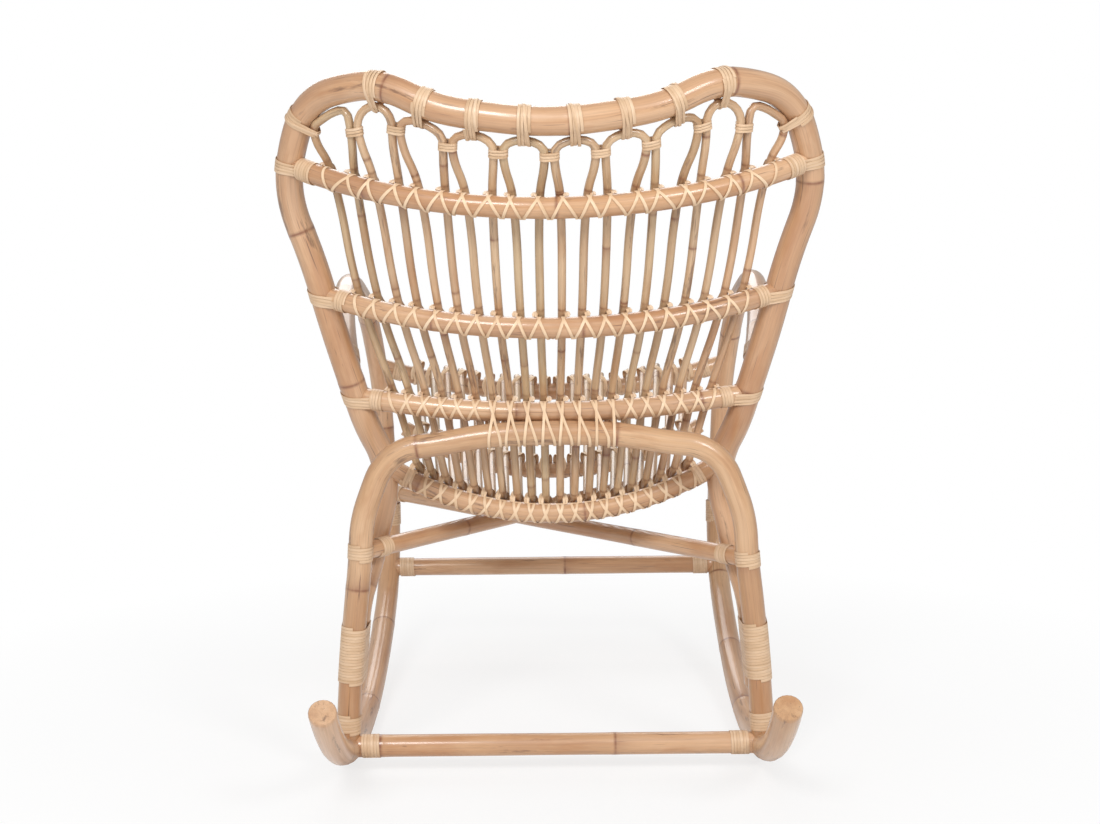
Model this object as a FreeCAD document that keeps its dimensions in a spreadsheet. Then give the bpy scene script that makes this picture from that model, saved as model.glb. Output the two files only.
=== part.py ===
"""Rattan rocking chair: bent poles, a shell of looped slats, and joints bound with cane strip.

Millimetres, +Z up. The chair faces -Y, its middle plane is X = 0 and the floor is Z = 0.
"""
import FreeCAD
import Part
import math
import os

Vector = FreeCAD.Vector

# Sizes that can be set one by one
SIZES = {
    # Pole, cane and strip diameters
    "hoop_pole": 36,
    "leg_pole": 32,
    "rocker_pole": 36,
    "arm_pole": 33,
    "rail_pole": 27,
    "seat_rail_pole": 24,
    "front_rail_pole": 29,
    "stretcher_pole": 30,
    "brace_pole": 25,
    "slat_cane": 12,
    "strip": 3.4,
    "dowel": 10,
    # Fits
    "seat_gap": 0.3,
    "turn_gap": 0.7,
    "dowel_gap": 0.1,
    # Factor on a radius for a neighbour that is met at a slant
    "oblique_room": 1.25,
    # Rocker: a large floor arc, a tail bent up and a front swept up to the leg
    "rocker_half_track": 284,
    "contact_y": 76,
    "floor_radius": 950,
    "tail_radius": 480,
    "tail_from_angle": 10,
    "tail_to_angle": 44,
    "sweep_radius": 150,
    "sweep_from_angle": 24.5,
    # Heights at which pieces meet the bent poles
    "upper_rail_end_z": 825,
    "middle_rail_end_z": 655,
    "lower_rail_end_z": 515,
    "seat_rear_end_z": 418,
    "front_rail_end_z": 500,
    "arm_end_z": 545,
    "lash_top_z": 209,
    "lash_low_z": 127,
    "hoop_end_z": 110,
    "upper_brace_rear_z": 310,
    "upper_brace_front_z": 316,
    "lower_brace_rear_z": 296,
    "lower_brace_front_z": 278,
    "front_stretcher_z": 151,
    "rear_foot_y": 250,
    "stretcher_above_rocker": 4,
    "leg_under_rail_angle": 30,
    # Slat spacing on each rail: from loop to loop, and between the two legs of a loop
    "top_pitch": 60,
    "upper_pitch": 59,
    "upper_legs": 34,
    "middle_pitch": 53.8,
    "middle_legs": 26.5,
    "lower_pitch": 46,
    "lower_legs": 23,
    "seat_rear_pitch": 41,
    "seat_rear_legs": 20.5,
    "seat_middle_pitch": 45,
    "seat_middle_legs": 22.5,
    "front_pitch": 49,
    "front_legs": 24.5,
    "loop_shoulder_drop": 18,
    "ear_knot_drop": 29,
    "ear_loop_apex_x": 264,
    "ear_tie_x": 312,
    "slat_overhang": 16,
    "hoop_tie_half": 98,
    # Dowels
    "dowel_length": 60,
}

# Places that the bent poles pass through, given for the +X side
PLACES = {
    "hoop_top": (0, 445, 870),
    "hoop_flank": (105, 435, 881),
    "hoop_crest": (235, 388, 917),
    "hoop_ear": (296, 347, 899),
    "hoop_widest": (331, 305, 832),
    "hoop_side": (300, 256, 655),
    "hoop_waist": (259, 210, 496),
    "hoop_bend": (232, 174, 400),
    "hoop_knee": (247, 185, 310),
    "leg_crown": (125, 266, 461),
    "leg_shoulder": (221, 263, 432),
    "leg_hip": (247, 261, 380),
    "leg_shin": (264, 256, 265),
    "arm_knee": (288, -410, 340),
    "arm_rise": (293, -402, 450),
    "arm_front": (302, -360, 552),
    "arm_crest": (309, -150, 648),
    "arm_rear": (296, 80, 615),
    "upper_rail": (0, 410, 767),
    "middle_rail": (0, 330, 614),
    "lower_rail": (0, 252, 496),
    "seat_rear_rail": (0, 190, 348),
    "seat_middle_rail": (0, -170, 350),
    "seat_middle_end": (234, -170, 420),
    "front_rail": (0, -405, 450),
    "sitter": (0, -50, 700),
}

LOOPS = 10
HOOP_TURNS = 4
CREST_TURNS = 2
CREST_LOOPS = (1, LOOPS - 2)
KNOT_TURNS = 2
RAIL_END_TURNS = {"seat_rear": 5, "lower": 5, "middle": 2, "upper": 4}
ARM_END_TURNS = 6
FRONT_END_TURNS = 4
SPLICE_TURNS = 9
LEG_TURNS = 5
FOOT_TURNS = 6
STRETCHER_TURNS = 6

doc = FreeCAD.newDocument("rattan_rocking_chair")
sheet = doc.addObject("Spreadsheet::Sheet", "Sizes")
cells = dict(SIZES)
for place, coordinates in PLACES.items():
    for axis, coordinate in zip("xyz", coordinates):
        cells[place + "_" + axis] = coordinate
for row, (name, number) in enumerate(cells.items(), start=1):
    sheet.set("A%d" % row, name)
    sheet.set("B%d" % row, str(number))
    sheet.setAlias("B%d" % row, name)
doc.recompute()


def size(name):
    """The number in the sheet's cell of that name."""
    return float(sheet.get(name))


def place(name):
    """A named place as a point on the +X side."""
    return Vector(size(name + "_x"), size(name + "_y"), size(name + "_z"))


def radius(pole_name):
    """Half the diameter of a kind of pole or cane."""
    return size(pole_name) / 2


def unit(direction):
    """The direction with length one."""
    return direction / direction.Length


def across(point):
    """The mirror image on the other side of the middle plane."""
    return Vector(-point.x, point.y, point.z)


gap = size("seat_gap")
strip_radius = radius("strip")
turn_pitch = size("strip") + size("turn_gap")


# Paths: arcs that meet tangentially, as a bent pole runs
def arc_edge(start, tangent, end):
    """The arc, or the straight run, that leaves start along tangent and reaches end."""
    chord = end - start
    cosine = chord.dot(tangent) / chord.Length
    if cosine > 1 - 1e-9:
        return Part.LineSegment(start, end).toShape()
    half = chord.Length / 2
    middle = (start + end) / 2
    corner = start + tangent * (half / cosine)
    rise = half * math.tan(math.acos(cosine) / 2)
    return Part.Arc(start, middle + unit(corner - middle) * rise, end).toShape()


def two_arcs(start, start_tangent, end, end_tangent):
    """A pair of arcs from start to end that keeps both end directions."""
    chord = end - start
    square = 2 * (1 - start_tangent.dot(end_tangent))
    linear = 2 * chord.dot(start_tangent + end_tangent)
    reach = chord.dot(chord) / linear
    if square > 1e-9:
        reach = (math.sqrt(linear ** 2 + 4 * square * chord.dot(chord)) - linear) / (2 * square)
    first = start + start_tangent * reach
    last = end - end_tangent * reach
    meeting = (first + last) / 2
    return [arc_edge(start, start_tangent, meeting), arc_edge(meeting, unit(last - first), end)]


class Curve:
    """A path of edges, with its points and directions found by length along it."""

    def __init__(self, edges):
        self.edges = edges
        self.wire = Part.Wire(edges)
        self.length = sum(edge.Length for edge in edges)

    def locate(self, length):
        for edge in self.edges[:-1]:
            if length <= edge.Length:
                return edge, edge.getParameterByLength(length)
            length -= edge.Length
        last = self.edges[-1]
        return last, last.getParameterByLength(min(length, last.Length))

    def point(self, length):
        edge, parameter = self.locate(length)
        return edge.valueAt(parameter)

    def tangent(self, length):
        edge, parameter = self.locate(length)
        return unit(edge.tangentAt(parameter))

    def find(self, axis, value, low, high):
        """The length between low and high at which a coordinate passes the value."""
        rising = getattr(self.point(high), axis) > getattr(self.point(low), axis)
        for _ in range(50):
            middle = (low + high) / 2
            if (getattr(self.point(middle), axis) < value) == rising:
                low = middle
            else:
                high = middle
        return (low + high) / 2


def round_tangents(points):
    """At each point, the direction of the circle through it and its neighbours."""
    steps = [after - before for before, after in zip(points, points[1:])]
    inner = [unit(a / a.dot(a) + b / b.dot(b)) for a, b in zip(steps, steps[1:])]
    first = unit(steps[0])
    last = unit(steps[-1])
    start = first * (2 * inner[0].dot(first)) - inner[0]
    end = last * (2 * inner[-1].dot(last)) - inner[-1]
    return [start] + inner + [end]


def joined_arcs(points, tangents):
    """A curve through the points with the given direction at each."""
    edges = []
    for index in range(len(points) - 1):
        edges += two_arcs(points[index], tangents[index], points[index + 1], tangents[index + 1])
    return Curve(edges)


def bent_through(points):
    """A smooth pole path through the points."""
    return joined_arcs(points, round_tangents(points))


# Solids: a round section swept along a path
def swept(label, curve, section_expression):
    """A round pole, cane or strip along the curve, its radius bound to the sheet."""
    path = doc.addObject("Part::Feature", label + "_path")
    path.Shape = curve.wire
    ring = doc.addObject("Part::Circle", label + "_section")
    ring.setExpression("Radius", section_expression)
    ring.Placement = FreeCAD.Placement(curve.point(0), FreeCAD.Rotation(Vector(0, 0, 1), curve.tangent(0)))
    sweep = doc.addObject("Part::Sweep", label)
    sweep.Sections = [ring]
    sweep.Spine = (path, ["Edge%d" % (number + 1) for number in range(len(curve.edges))])
    sweep.Solid = True
    sweep.Transition = "Transformed"
    return sweep


def pole(label, curve, pole_name):
    return swept(label, curve, "Sizes.%s / 2" % pole_name)


def room_for(label, curve, pole_name, windings=0):
    """The space a pole takes up, with its clearance and any layers of strip wound on it."""
    layer = "(Sizes.strip + 2 * Sizes.seat_gap)"
    return swept(label, curve, "Sizes.%s / 2 + Sizes.seat_gap + %d * %s" % (pole_name, windings, layer))


def cut_by(label, piece, tools):
    """The piece with its ends fitted round, or bored for, each of the tools."""
    for number, tool in enumerate(tools):
        cut = doc.addObject("Part::Cut", "%s_fit_%d" % (label, number))
        cut.Base = piece
        cut.Tool = tool
        piece = cut
    return piece


sub_parts = {}


def finish(label, pieces):
    """Name a finished sub-part, which may be a group of separate solids."""
    if len(pieces) == 1:
        sub_parts[label] = pieces[0]
    else:
        group = doc.addObject("Part::Compound", label + "_group")
        group.Links = pieces
        sub_parts[label] = group
    sub_parts[label].Label = label


# Rockers: tail, floor arc and front sweep in one plane beside the middle
def rocker_curve(side):
    """One rocker from its cut tail to the splice under the front leg."""
    x = side * size("rocker_half_track")
    floor_radius = size("floor_radius")
    centre_y = size("contact_y")
    centre_z = floor_radius + radius("rocker_pole")

    def on_floor_arc(angle):
        turn = math.radians(angle)
        return Vector(x, centre_y + floor_radius * math.sin(turn), centre_z - floor_radius * math.cos(turn))

    def bend(start, bend_radius, from_angle, to_angle, sign):
        turn_from = math.radians(from_angle)
        turn_to = math.radians(to_angle)
        run = bend_radius * (math.sin(turn_to) - math.sin(turn_from))
        rise = bend_radius * (math.cos(turn_from) - math.cos(turn_to))
        return start + Vector(0, sign * run, rise)

    def bent_arc(start, bend_radius, from_angle, to_angle, sign):
        middle = bend(start, bend_radius, from_angle, (from_angle + to_angle) / 2, sign)
        end = bend(start, bend_radius, from_angle, to_angle, sign)
        return middle, end

    tail_from = size("tail_from_angle")
    sweep_from = size("sweep_from_angle")
    rear = on_floor_arc(tail_from)
    front = on_floor_arc(-sweep_from)
    tail_middle, tail_end = bent_arc(rear, size("tail_radius"), tail_from, size("tail_to_angle"), 1)
    sweep_middle, sweep_end = bent_arc(front, size("sweep_radius"), sweep_from, 90, -1)
    return Curve([
        Part.Arc(tail_end, tail_middle, rear).toShape(),
        Part.Arc(rear, on_floor_arc(0), front).toShape(),
        Part.Arc(front, sweep_middle, sweep_end).toShape(),
    ])


SIDES = {"left": 1, "right": -1}
rockers = {name: rocker_curve(side) for name, side in SIDES.items()}


def on_side(point, side):
    """The point on the named side of the chair."""
    return point if SIDES[side] > 0 else across(point)


# Rear leg hoop: an inverted U standing on the rockers, its top tucked under the lower back rail
lean = math.radians(size("leg_under_rail_angle"))
leg_seat = radius("rail_pole") + radius("leg_pole") + gap
leg_top = place("lower_rail") + Vector(0, math.sin(lean), -math.cos(lean)) * leg_seat
rocker_left = rockers["left"]
foot_at = rocker_left.find("y", size("rear_foot_y"), 0, rocker_left.length / 2)
leg_foot = rocker_left.point(foot_at)
leg_side = [place(name) for name in ("leg_crown", "leg_shoulder", "leg_hip", "leg_shin")] + [leg_foot]
leg_curve = bent_through([across(point) for point in reversed(leg_side)] + [leg_top] + leg_side)


def on_leg(height):
    """The length along the left rear leg at a height."""
    return leg_curve.find("z", height, leg_curve.length * 0.55, leg_curve.length)


# Back hoop: a butterfly outline whose ends are lashed in front of the rear legs
lash_step = Vector(0, -(radius("leg_pole") + radius("hoop_pole") + gap), 0)
hoop_names = ("hoop_flank", "hoop_crest", "hoop_ear", "hoop_widest", "hoop_side", "hoop_waist", "hoop_bend")
hoop_side = [place(name) for name in hoop_names] + [place("hoop_knee")]
lash_ends = [on_leg(size(height_name)) for height_name in ("lash_top_z", "hoop_end_z")]
hoop_side += [leg_curve.point(at) + lash_step for at in lash_ends]
hoop_points = [across(point) for point in reversed(hoop_side)] + [place("hoop_top")] + hoop_side
hoop_tangents = round_tangents(hoop_points)
for number, at in zip((-2, -1), lash_ends):
    down_leg = leg_curve.tangent(at)
    hoop_tangents[number] = down_leg
    hoop_tangents[-1 - number] = across(down_leg) * -1
hoop_curve = joined_arcs(hoop_points, hoop_tangents)
hoop_middle = hoop_curve.length / 2
hoop_widest_at = hoop_curve.find("z", size("hoop_widest_z"), hoop_middle * 1.25, hoop_curve.length)


def on_hoop_top(x):
    """The length along the top of the hoop at a sideways place."""
    return hoop_curve.find("x", x, hoop_curve.length - hoop_widest_at, hoop_widest_at)


def on_hoop_side(height):
    """The length along the left side of the hoop at a height."""
    return hoop_curve.find("z", height, hoop_widest_at, hoop_curve.length)


# Arm poles: the front leg rises from the rocker's sweep and bends back over the arm to the hoop
def arm_curve_on(side):
    arm_end = hoop_curve.point(on_hoop_side(size("arm_end_z")))
    names = ("arm_knee", "arm_rise", "arm_front", "arm_crest", "arm_rear")
    bends = [on_side(place(name), side) for name in names]
    points = [rockers[side].point(rockers[side].length)] + bends + [on_side(arm_end, side)]
    tangents = round_tangents(points)
    tangents[0] = Vector(0, 0, 1)
    return joined_arcs(points, tangents)


arms = {side: arm_curve_on(side) for side in SIDES}


def on_front_leg(side, height):
    """The length along the front leg at a height."""
    return arms[side].find("z", height, 0, arms[side].length * 0.45)


# Bowed rails: each an arc from pole to pole through its named middle
def bowed_rail(middle, left_end):
    return Curve([Part.Arc(across(left_end), middle, left_end).toShape()])


def back_rail(middle_name, height_name):
    return bowed_rail(place(middle_name), hoop_curve.point(on_hoop_side(size(height_name))))


front_rail_end = arms["left"].point(on_front_leg("left", size("front_rail_end_z")))
rails = {
    "front": bowed_rail(place("front_rail"), front_rail_end),
    "seat_middle": bowed_rail(place("seat_middle_rail"), place("seat_middle_end")),
    "seat_rear": back_rail("seat_rear_rail", "seat_rear_end_z"),
    "lower": back_rail("lower_rail", "lower_rail_end_z"),
    "middle": back_rail("middle_rail", "middle_rail_end_z"),
    "upper": back_rail("upper_rail", "upper_rail_end_z"),
}
rail_poles = {
    "front": "front_rail_pole",
    "seat_middle": "seat_rail_pole",
    "seat_rear": "rail_pole",
    "lower": "rail_pole",
    "middle": "rail_pole",
    "upper": "rail_pole",
}


# Slat loops: one cane each, up the seat and back, round under the hoop and down again
def leg_x(rail, loop, leg):
    """The sideways place of one leg (-1 or 1) of a loop on a rail."""
    return (loop - (LOOPS - 1) / 2) * size(rail + "_pitch") + leg * size(rail + "_legs") / 2


def rail_length_at(rail, x):
    return rails[rail].find("x", x, 0, rails[rail].length)


def slat_runs(points, rear_turns):
    """The direction of a slat at each point: smooth, and halved between its runs at the rear of the seat."""
    runs = round_tangents(points)
    for turn in rear_turns:
        runs[turn] = unit(unit(points[turn] - points[turn - 1]) + unit(points[turn + 1] - points[turn]))
    return runs


REAR_TURN = list(rails).index("seat_rear")


def slat_crossings(loop, leg):
    """For each rail, from the front up, where a slat's centre crosses and the inward direction there."""
    lengths = [rail_length_at(rail, leg_x(rail, loop, leg)) for rail in rails]
    on_axes = [curve.point(length) for curve, length in zip(rails.values(), lengths)]
    runs = slat_runs(on_axes, [REAR_TURN])
    crossings = []
    for rail, length, point, run in zip(rails, lengths, on_axes, runs):
        inward = unit(rails[rail].tangent(length).cross(run))
        if inward.dot(place("sitter") - point) < 0:
            inward = inward * -1
        reach = radius(rail_poles[rail]) + radius("slat_cane") + gap
        crossings.append((point + inward * reach, inward))
    return crossings


def under_hoop(x, below):
    """A point of the shell below the hoop's top, the hoop's direction there and the way down."""
    at = on_hoop_top(x)
    point = hoop_curve.point(at)
    along = hoop_curve.tangent(at)
    upper = rails["upper"].point(rail_length_at("upper", x * size("upper_pitch") / size("top_pitch")))
    down = upper - point
    down = unit(down - along * down.dot(along))
    return point + down * below, along, down


hoop_seat = radius("hoop_pole") + radius("slat_cane") + gap
knot_half = radius("slat_cane") + gap / 2


def loop_place(loop, ear_name):
    """The sideways place of a loop's top or tie; the outer loops lean into the ears."""
    offset = loop - (LOOPS - 1) / 2
    if abs(offset) > LOOPS / 2 - 1:
        return math.copysign(size(ear_name), offset)
    return offset * size("top_pitch")


def knot_drop(knot):
    """How far below a loop's top its shoulder lies, more towards the ears."""
    inner = size("loop_shoulder_drop")
    return inner + (size("ear_knot_drop") - inner) * (abs(knot) / (LOOPS / 2 - 1)) ** 4


def loop_shoulder(loop, leg):
    """The widest place of a loop, against its neighbour or against the ear, and the way up."""
    knot = loop - LOOPS / 2 + (leg + 1) / 2
    if abs(knot) < LOOPS / 2:
        point, along, down = under_hoop(knot * size("top_pitch"), hoop_seat + knot_drop(knot))
        return point - along * (leg * knot_half), down * -1
    point, along, _ = under_hoop(leg * size("ear_tie_x"), hoop_seat)
    return point, along * -leg


def ear_bend(loop, leg):
    """Where an outer cane lies against the hoop between its top and its tie, and the hoop's direction."""
    if abs(loop - (LOOPS - 1) / 2 + leg / 2) < LOOPS / 2:
        return []
    point, along, _ = under_hoop(leg * (size("ear_loop_apex_x") + size("ear_tie_x")) / 2, hoop_seat)
    return [(point, along)]


def leg_points(loop, leg):
    """A slat's points from its front tip to the upper rail."""
    points = [point for point, _ in slat_crossings(loop, leg)]
    tip = points[0] + unit(points[0] - points[1]) * size("slat_overhang")
    return [tip] + points


def loop_curve(loop):
    left = leg_points(loop, -1)
    right = leg_points(loop, 1)
    left_shoulder, left_up = loop_shoulder(loop, -1)
    right_shoulder, right_up = loop_shoulder(loop, 1)
    apex, along, _ = under_hoop(loop_place(loop, "ear_loop_apex_x"), hoop_seat)
    top = [(left_shoulder, left_up)] + ear_bend(loop, -1) + [(apex, along)]
    top += ear_bend(loop, 1) + [(right_shoulder, right_up * -1)]
    points = left + [point for point, _ in top] + right[::-1]
    tangents = slat_runs(points, [REAR_TURN + 1, len(points) - 2 - REAR_TURN])
    tangents[len(left):len(left) + len(top)] = [run for _, run in top]
    return joined_arcs(points, tangents)


loop_curves = [loop_curve(loop) for loop in range(LOOPS)]


# Poles and canes as solids
hoop = pole("back_hoop_pole", hoop_curve, "hoop_pole")
hoop_room = room_for("hoop_room", hoop_curve, "hoop_pole")
leg_hoop = pole("leg_hoop_pole", leg_curve, "leg_pole")
leg_room = room_for("leg_room", leg_curve, "leg_pole", windings=1)
rocker_poles = {side: pole("rocker_pole_" + side, rockers[side], "rocker_pole") for side in SIDES}
rocker_rooms = {side: room_for("rocker_room_" + side, rockers[side], "rocker_pole") for side in SIDES}
arm_poles = {side: pole("arm_pole_" + side, arms[side], "arm_pole") for side in SIDES}
arm_rooms = {side: room_for("arm_room_" + side, arms[side], "arm_pole") for side in SIDES}


# Dowels hidden in the rear feet and in the splices of the front legs
def dowel_at(label, middle, direction, expression):
    peg = doc.addObject("Part::Cylinder", label)
    peg.setExpression("Radius", expression)
    peg.setExpression("Height", "Sizes.dowel_length")
    start = middle - direction * (size("dowel_length") / 2)
    peg.Placement = FreeCAD.Placement(start, FreeCAD.Rotation(Vector(0, 0, 1), direction))
    return peg


foot_way = leg_curve.tangent(leg_curve.length) * -1
foot_seat = leg_foot + foot_way * (radius("rocker_pole") + gap)
dowels = []
foot_bores = {}
splice_bores = {}
for side in SIDES:
    foot_direction = on_side(foot_way, side)
    foot_point = on_side(foot_seat, side) + foot_direction * (size("dowel_length") / 2 - radius("rocker_pole"))
    splice_point = arms[side].point(0)
    bore = "Sizes.dowel / 2 + Sizes.dowel_gap"
    dowels.append(dowel_at("foot_dowel_" + side, foot_point, foot_direction, "Sizes.dowel / 2"))
    dowels.append(dowel_at("splice_dowel_" + side, splice_point, Vector(0, 0, 1), "Sizes.dowel / 2"))
    foot_bores[side] = dowel_at("foot_bore_" + side, foot_point, foot_direction, bore)
    splice_bores[side] = dowel_at("splice_bore_" + side, splice_point, Vector(0, 0, 1), bore)

finish("back_hoop", [hoop])
leg_tools = list(rocker_rooms.values()) + list(foot_bores.values())
finish("rear_leg_hoop", [cut_by("leg_hoop", leg_hoop, leg_tools)])
for side in SIDES:
    rocker_bores = [foot_bores[side], splice_bores[side]]
    finish("rocker_" + side, [cut_by("rocker_" + side, rocker_poles[side], rocker_bores)])
    finish("arm_" + side, [cut_by("arm_" + side, arm_poles[side], [hoop_room, splice_bores[side]])])
finish("joint_dowels", dowels)

RAIL_LABELS = {
    "front": "seat_front_rail",
    "seat_middle": "seat_middle_rail",
    "seat_rear": "seat_rear_rail",
    "lower": "lower_back_rail",
    "middle": "middle_back_rail",
    "upper": "upper_back_rail",
}
for rail, label in RAIL_LABELS.items():
    stick = pole(label + "_pole", rails[rail], rail_poles[rail])
    if rail == "front":
        stick = cut_by(label, stick, arm_rooms.values())
    elif rail != "seat_middle":
        stick = cut_by(label, stick, [hoop_room])
    finish(label, [stick])

for loop, curve in enumerate(loop_curves):
    finish("slat_loop_%02d" % (loop + 1), [pole("slat_cane_%02d" % (loop + 1), curve, "slat_cane")])


# Stretchers and cross braces: straight poles fitted round what they meet
def straight(start, end):
    return Curve([Part.LineSegment(start, end).toShape()])


rear_seat = leg_foot + Vector(0, 0, size("stretcher_above_rocker"))
front_seat_at = rocker_left.find("z", size("front_stretcher_z"), rocker_left.length * 0.7, rocker_left.length)
front_seat = rocker_left.point(front_seat_at)
rear_stretcher = straight(across(rear_seat), rear_seat)
front_stretcher = straight(across(front_seat), front_seat)
rear_stick = pole("rear_stretcher_pole", rear_stretcher, "stretcher_pole")
finish("rear_stretcher", [cut_by("rear_stretcher", rear_stick, list(rocker_rooms.values()) + [leg_room])])
front_stick = pole("front_stretcher_pole", front_stretcher, "stretcher_pole")
finish("front_stretcher", [cut_by("front_stretcher", front_stick, rocker_rooms.values())])

BRACES = {"upper": ("left", "right"), "lower": ("right", "left")}
brace_curves = {}
for brace, (rear_side, front_side) in BRACES.items():
    rear_at = leg_curve.point(on_leg(size(brace + "_brace_rear_z")))
    front_at = on_front_leg(front_side, size(brace + "_brace_front_z"))
    brace_curves[brace] = straight(on_side(rear_at, rear_side), arms[front_side].point(front_at))
    stick = pole(brace + "_brace_pole", brace_curves[brace], "brace_pole")
    fitted = cut_by(brace + "_brace", stick, [leg_room, arm_rooms[front_side]])
    finish("cross_brace_" + brace, [fitted])


# Bindings: cane strip wound round a joint, each one unbroken strip
GAP_SAMPLES = 48
winding_gaps = {}


def strip_along(label, curve, turns):
    """A strip along a wound path, its least gap to itself measured on points."""
    step = curve.length / (turns * GAP_SAMPLES)
    points = [curve.point(number * step) for number in range(turns * GAP_SAMPLES + 1)]
    nearest = curve.length
    for number, point in enumerate(points):
        next_turn = points[number + GAP_SAMPLES // 2:number + GAP_SAMPLES * 3 // 2]
        nearest = min([nearest] + [(other - point).Length for other in next_turn])
    winding_gaps[label] = nearest - size("strip")
    return swept(label, curve, "Sizes.strip / 2")


def wound(label, origin, axis, toward, turns, rear, front, side, span=0):
    """Strip wound about the origin, centred on it along the axis.

    From the origin the strip passes rear behind it, side beside it and front beyond a second
    centre that lies span away in the toward direction.
    """
    toward = unit(toward - axis * toward.dot(axis))
    beside = axis.cross(toward)
    tip = front + span
    keys = [(tip, 0, 0, 1), (span, side, -1, 0), (-rear, 0, 0, -1), (span, -side, 1, 0)]
    if span:
        keys.insert(2, (0, side, -1, 0))
        keys.insert(4, (0, -side, 1, 0))
    lengths = []
    for key, following in zip(keys, keys[1:] + keys[:1]):
        lengths.append(math.hypot(following[0] - key[0], following[1] - key[1]))
    around = sum(lengths)
    points = []
    tangents = []
    advance = -turns * turn_pitch / 2
    for turn in range(turns):
        for key, length in zip(keys, lengths):
            points.append(origin + toward * key[0] + beside * key[1] + axis * advance)
            tangents.append(unit(toward * key[2] + beside * key[3] + axis * (turn_pitch / around)))
            advance += turn_pitch * length / around
    points.append(points[0] + axis * (turns * turn_pitch))
    tangents.append(tangents[0])
    return strip_along(label, joined_arcs(points, tangents), turns)


def stray(curve, at, turns):
    """How far a bent pole leaves its own straight line within a winding."""
    axis = curve.tangent(at)
    reach = turns * turn_pitch / 2 + strip_radius
    ends = [curve.point(max(at - reach, 0)) - curve.point(at), curve.point(at + reach) - curve.point(at)]
    return max((end - axis * end.dot(axis)).Length for end in ends)


def bound(label, curve, at, pole_name, turns, toward=Vector(0, 1, 0)):
    """A plain binding round one pole."""
    reach = radius(pole_name) + strip_radius + gap + stray(curve, at, turns)
    return wound(label, curve.point(at), curve.tangent(at), toward, turns, reach, reach, reach)


OBLIQUE = size("oblique_room")


def wrap_half(turns):
    """Half the length of a winding, with room beside it."""
    return turns * turn_pitch / 2 + strip_radius + 4 * gap


hoop_bindings = []
for loop in range(LOOPS):
    turns = CREST_TURNS if loop in CREST_LOOPS else HOOP_TURNS
    tie_x = loop_place(loop, "ear_tie_x")
    at = on_hoop_top(tie_x)
    _, along, down = under_hoop(tie_x, hoop_seat)
    reach = radius("hoop_pole") + strip_radius + gap + stray(hoop_curve, at, turns)
    arch_drop = knot_drop(loop - (LOOPS - 1) / 2) / 3
    front = reach + size("slat_cane") + gap + arch_drop
    name = "hoop_binding_%02d" % (loop + 1)
    hoop_bindings.append(wound(name, hoop_curve.point(at), along, down, turns, reach, front, reach))
finish("hoop_top_bindings", hoop_bindings)


def flare(loop, leg):
    """How far a cane leaves the straight line at its shoulder within the knot's binding."""
    shoulder, way_up = loop_shoulder(loop, leg)
    half = wrap_half(KNOT_TURNS)
    strays = [0]
    for point in loop_curves[loop].wire.discretize(Distance=strip_radius):
        offset = point - shoulder
        if offset.Length < 2 * half and abs(offset.dot(way_up)) < half:
            strays.append((offset - way_up * offset.dot(way_up)).Length)
    return max(strays)


knot_bindings = []
for knot in range(1, LOOPS):
    offset = knot - LOOPS / 2
    middle, along, down = under_hoop(offset * size("top_pitch"), hoop_seat + knot_drop(offset))
    reach = radius("slat_cane") + strip_radius + gap + max(flare(knot - 1, 1), flare(knot, -1))
    origin = middle - along * knot_half
    name = "knot_binding_%02d" % knot
    knot_bindings.append(wound(name, origin, down, along, KNOT_TURNS, reach, reach, reach, 2 * knot_half))
finish("loop_knot_bindings", knot_bindings)

# Where the outer slats leave no room on a rail, its end is bound on the hoop just below it
end_bindings = []
for rail, turns in RAIL_END_TURNS.items():
    on_rail = rail in ("middle", "upper")
    if on_rail:
        curve = rails[rail]
        inset = radius("hoop_pole") * OBLIQUE + wrap_half(turns)
        places = {"right": inset, "left": curve.length - inset}
    else:
        curve = hoop_curve
        rail_end = on_hoop_side(rails[rail].point(rails[rail].length).z)
        lean = abs(rails[rail].tangent(rails[rail].length).dot(hoop_curve.tangent(rail_end)))
        past_rail = (radius("rail_pole") + (radius("hoop_pole") + size("strip")) * lean) / math.sqrt(1 - lean ** 2)
        below = rail_end + past_rail + wrap_half(turns)
        places = {"right": curve.length - below, "left": below}
    for side, at in places.items():
        name = "%s_end_%s" % (rail, side)
        end_bindings.append(bound(name, curve, at, "rail_pole" if on_rail else "hoop_pole", turns))
finish("rail_end_bindings", end_bindings)

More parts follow.
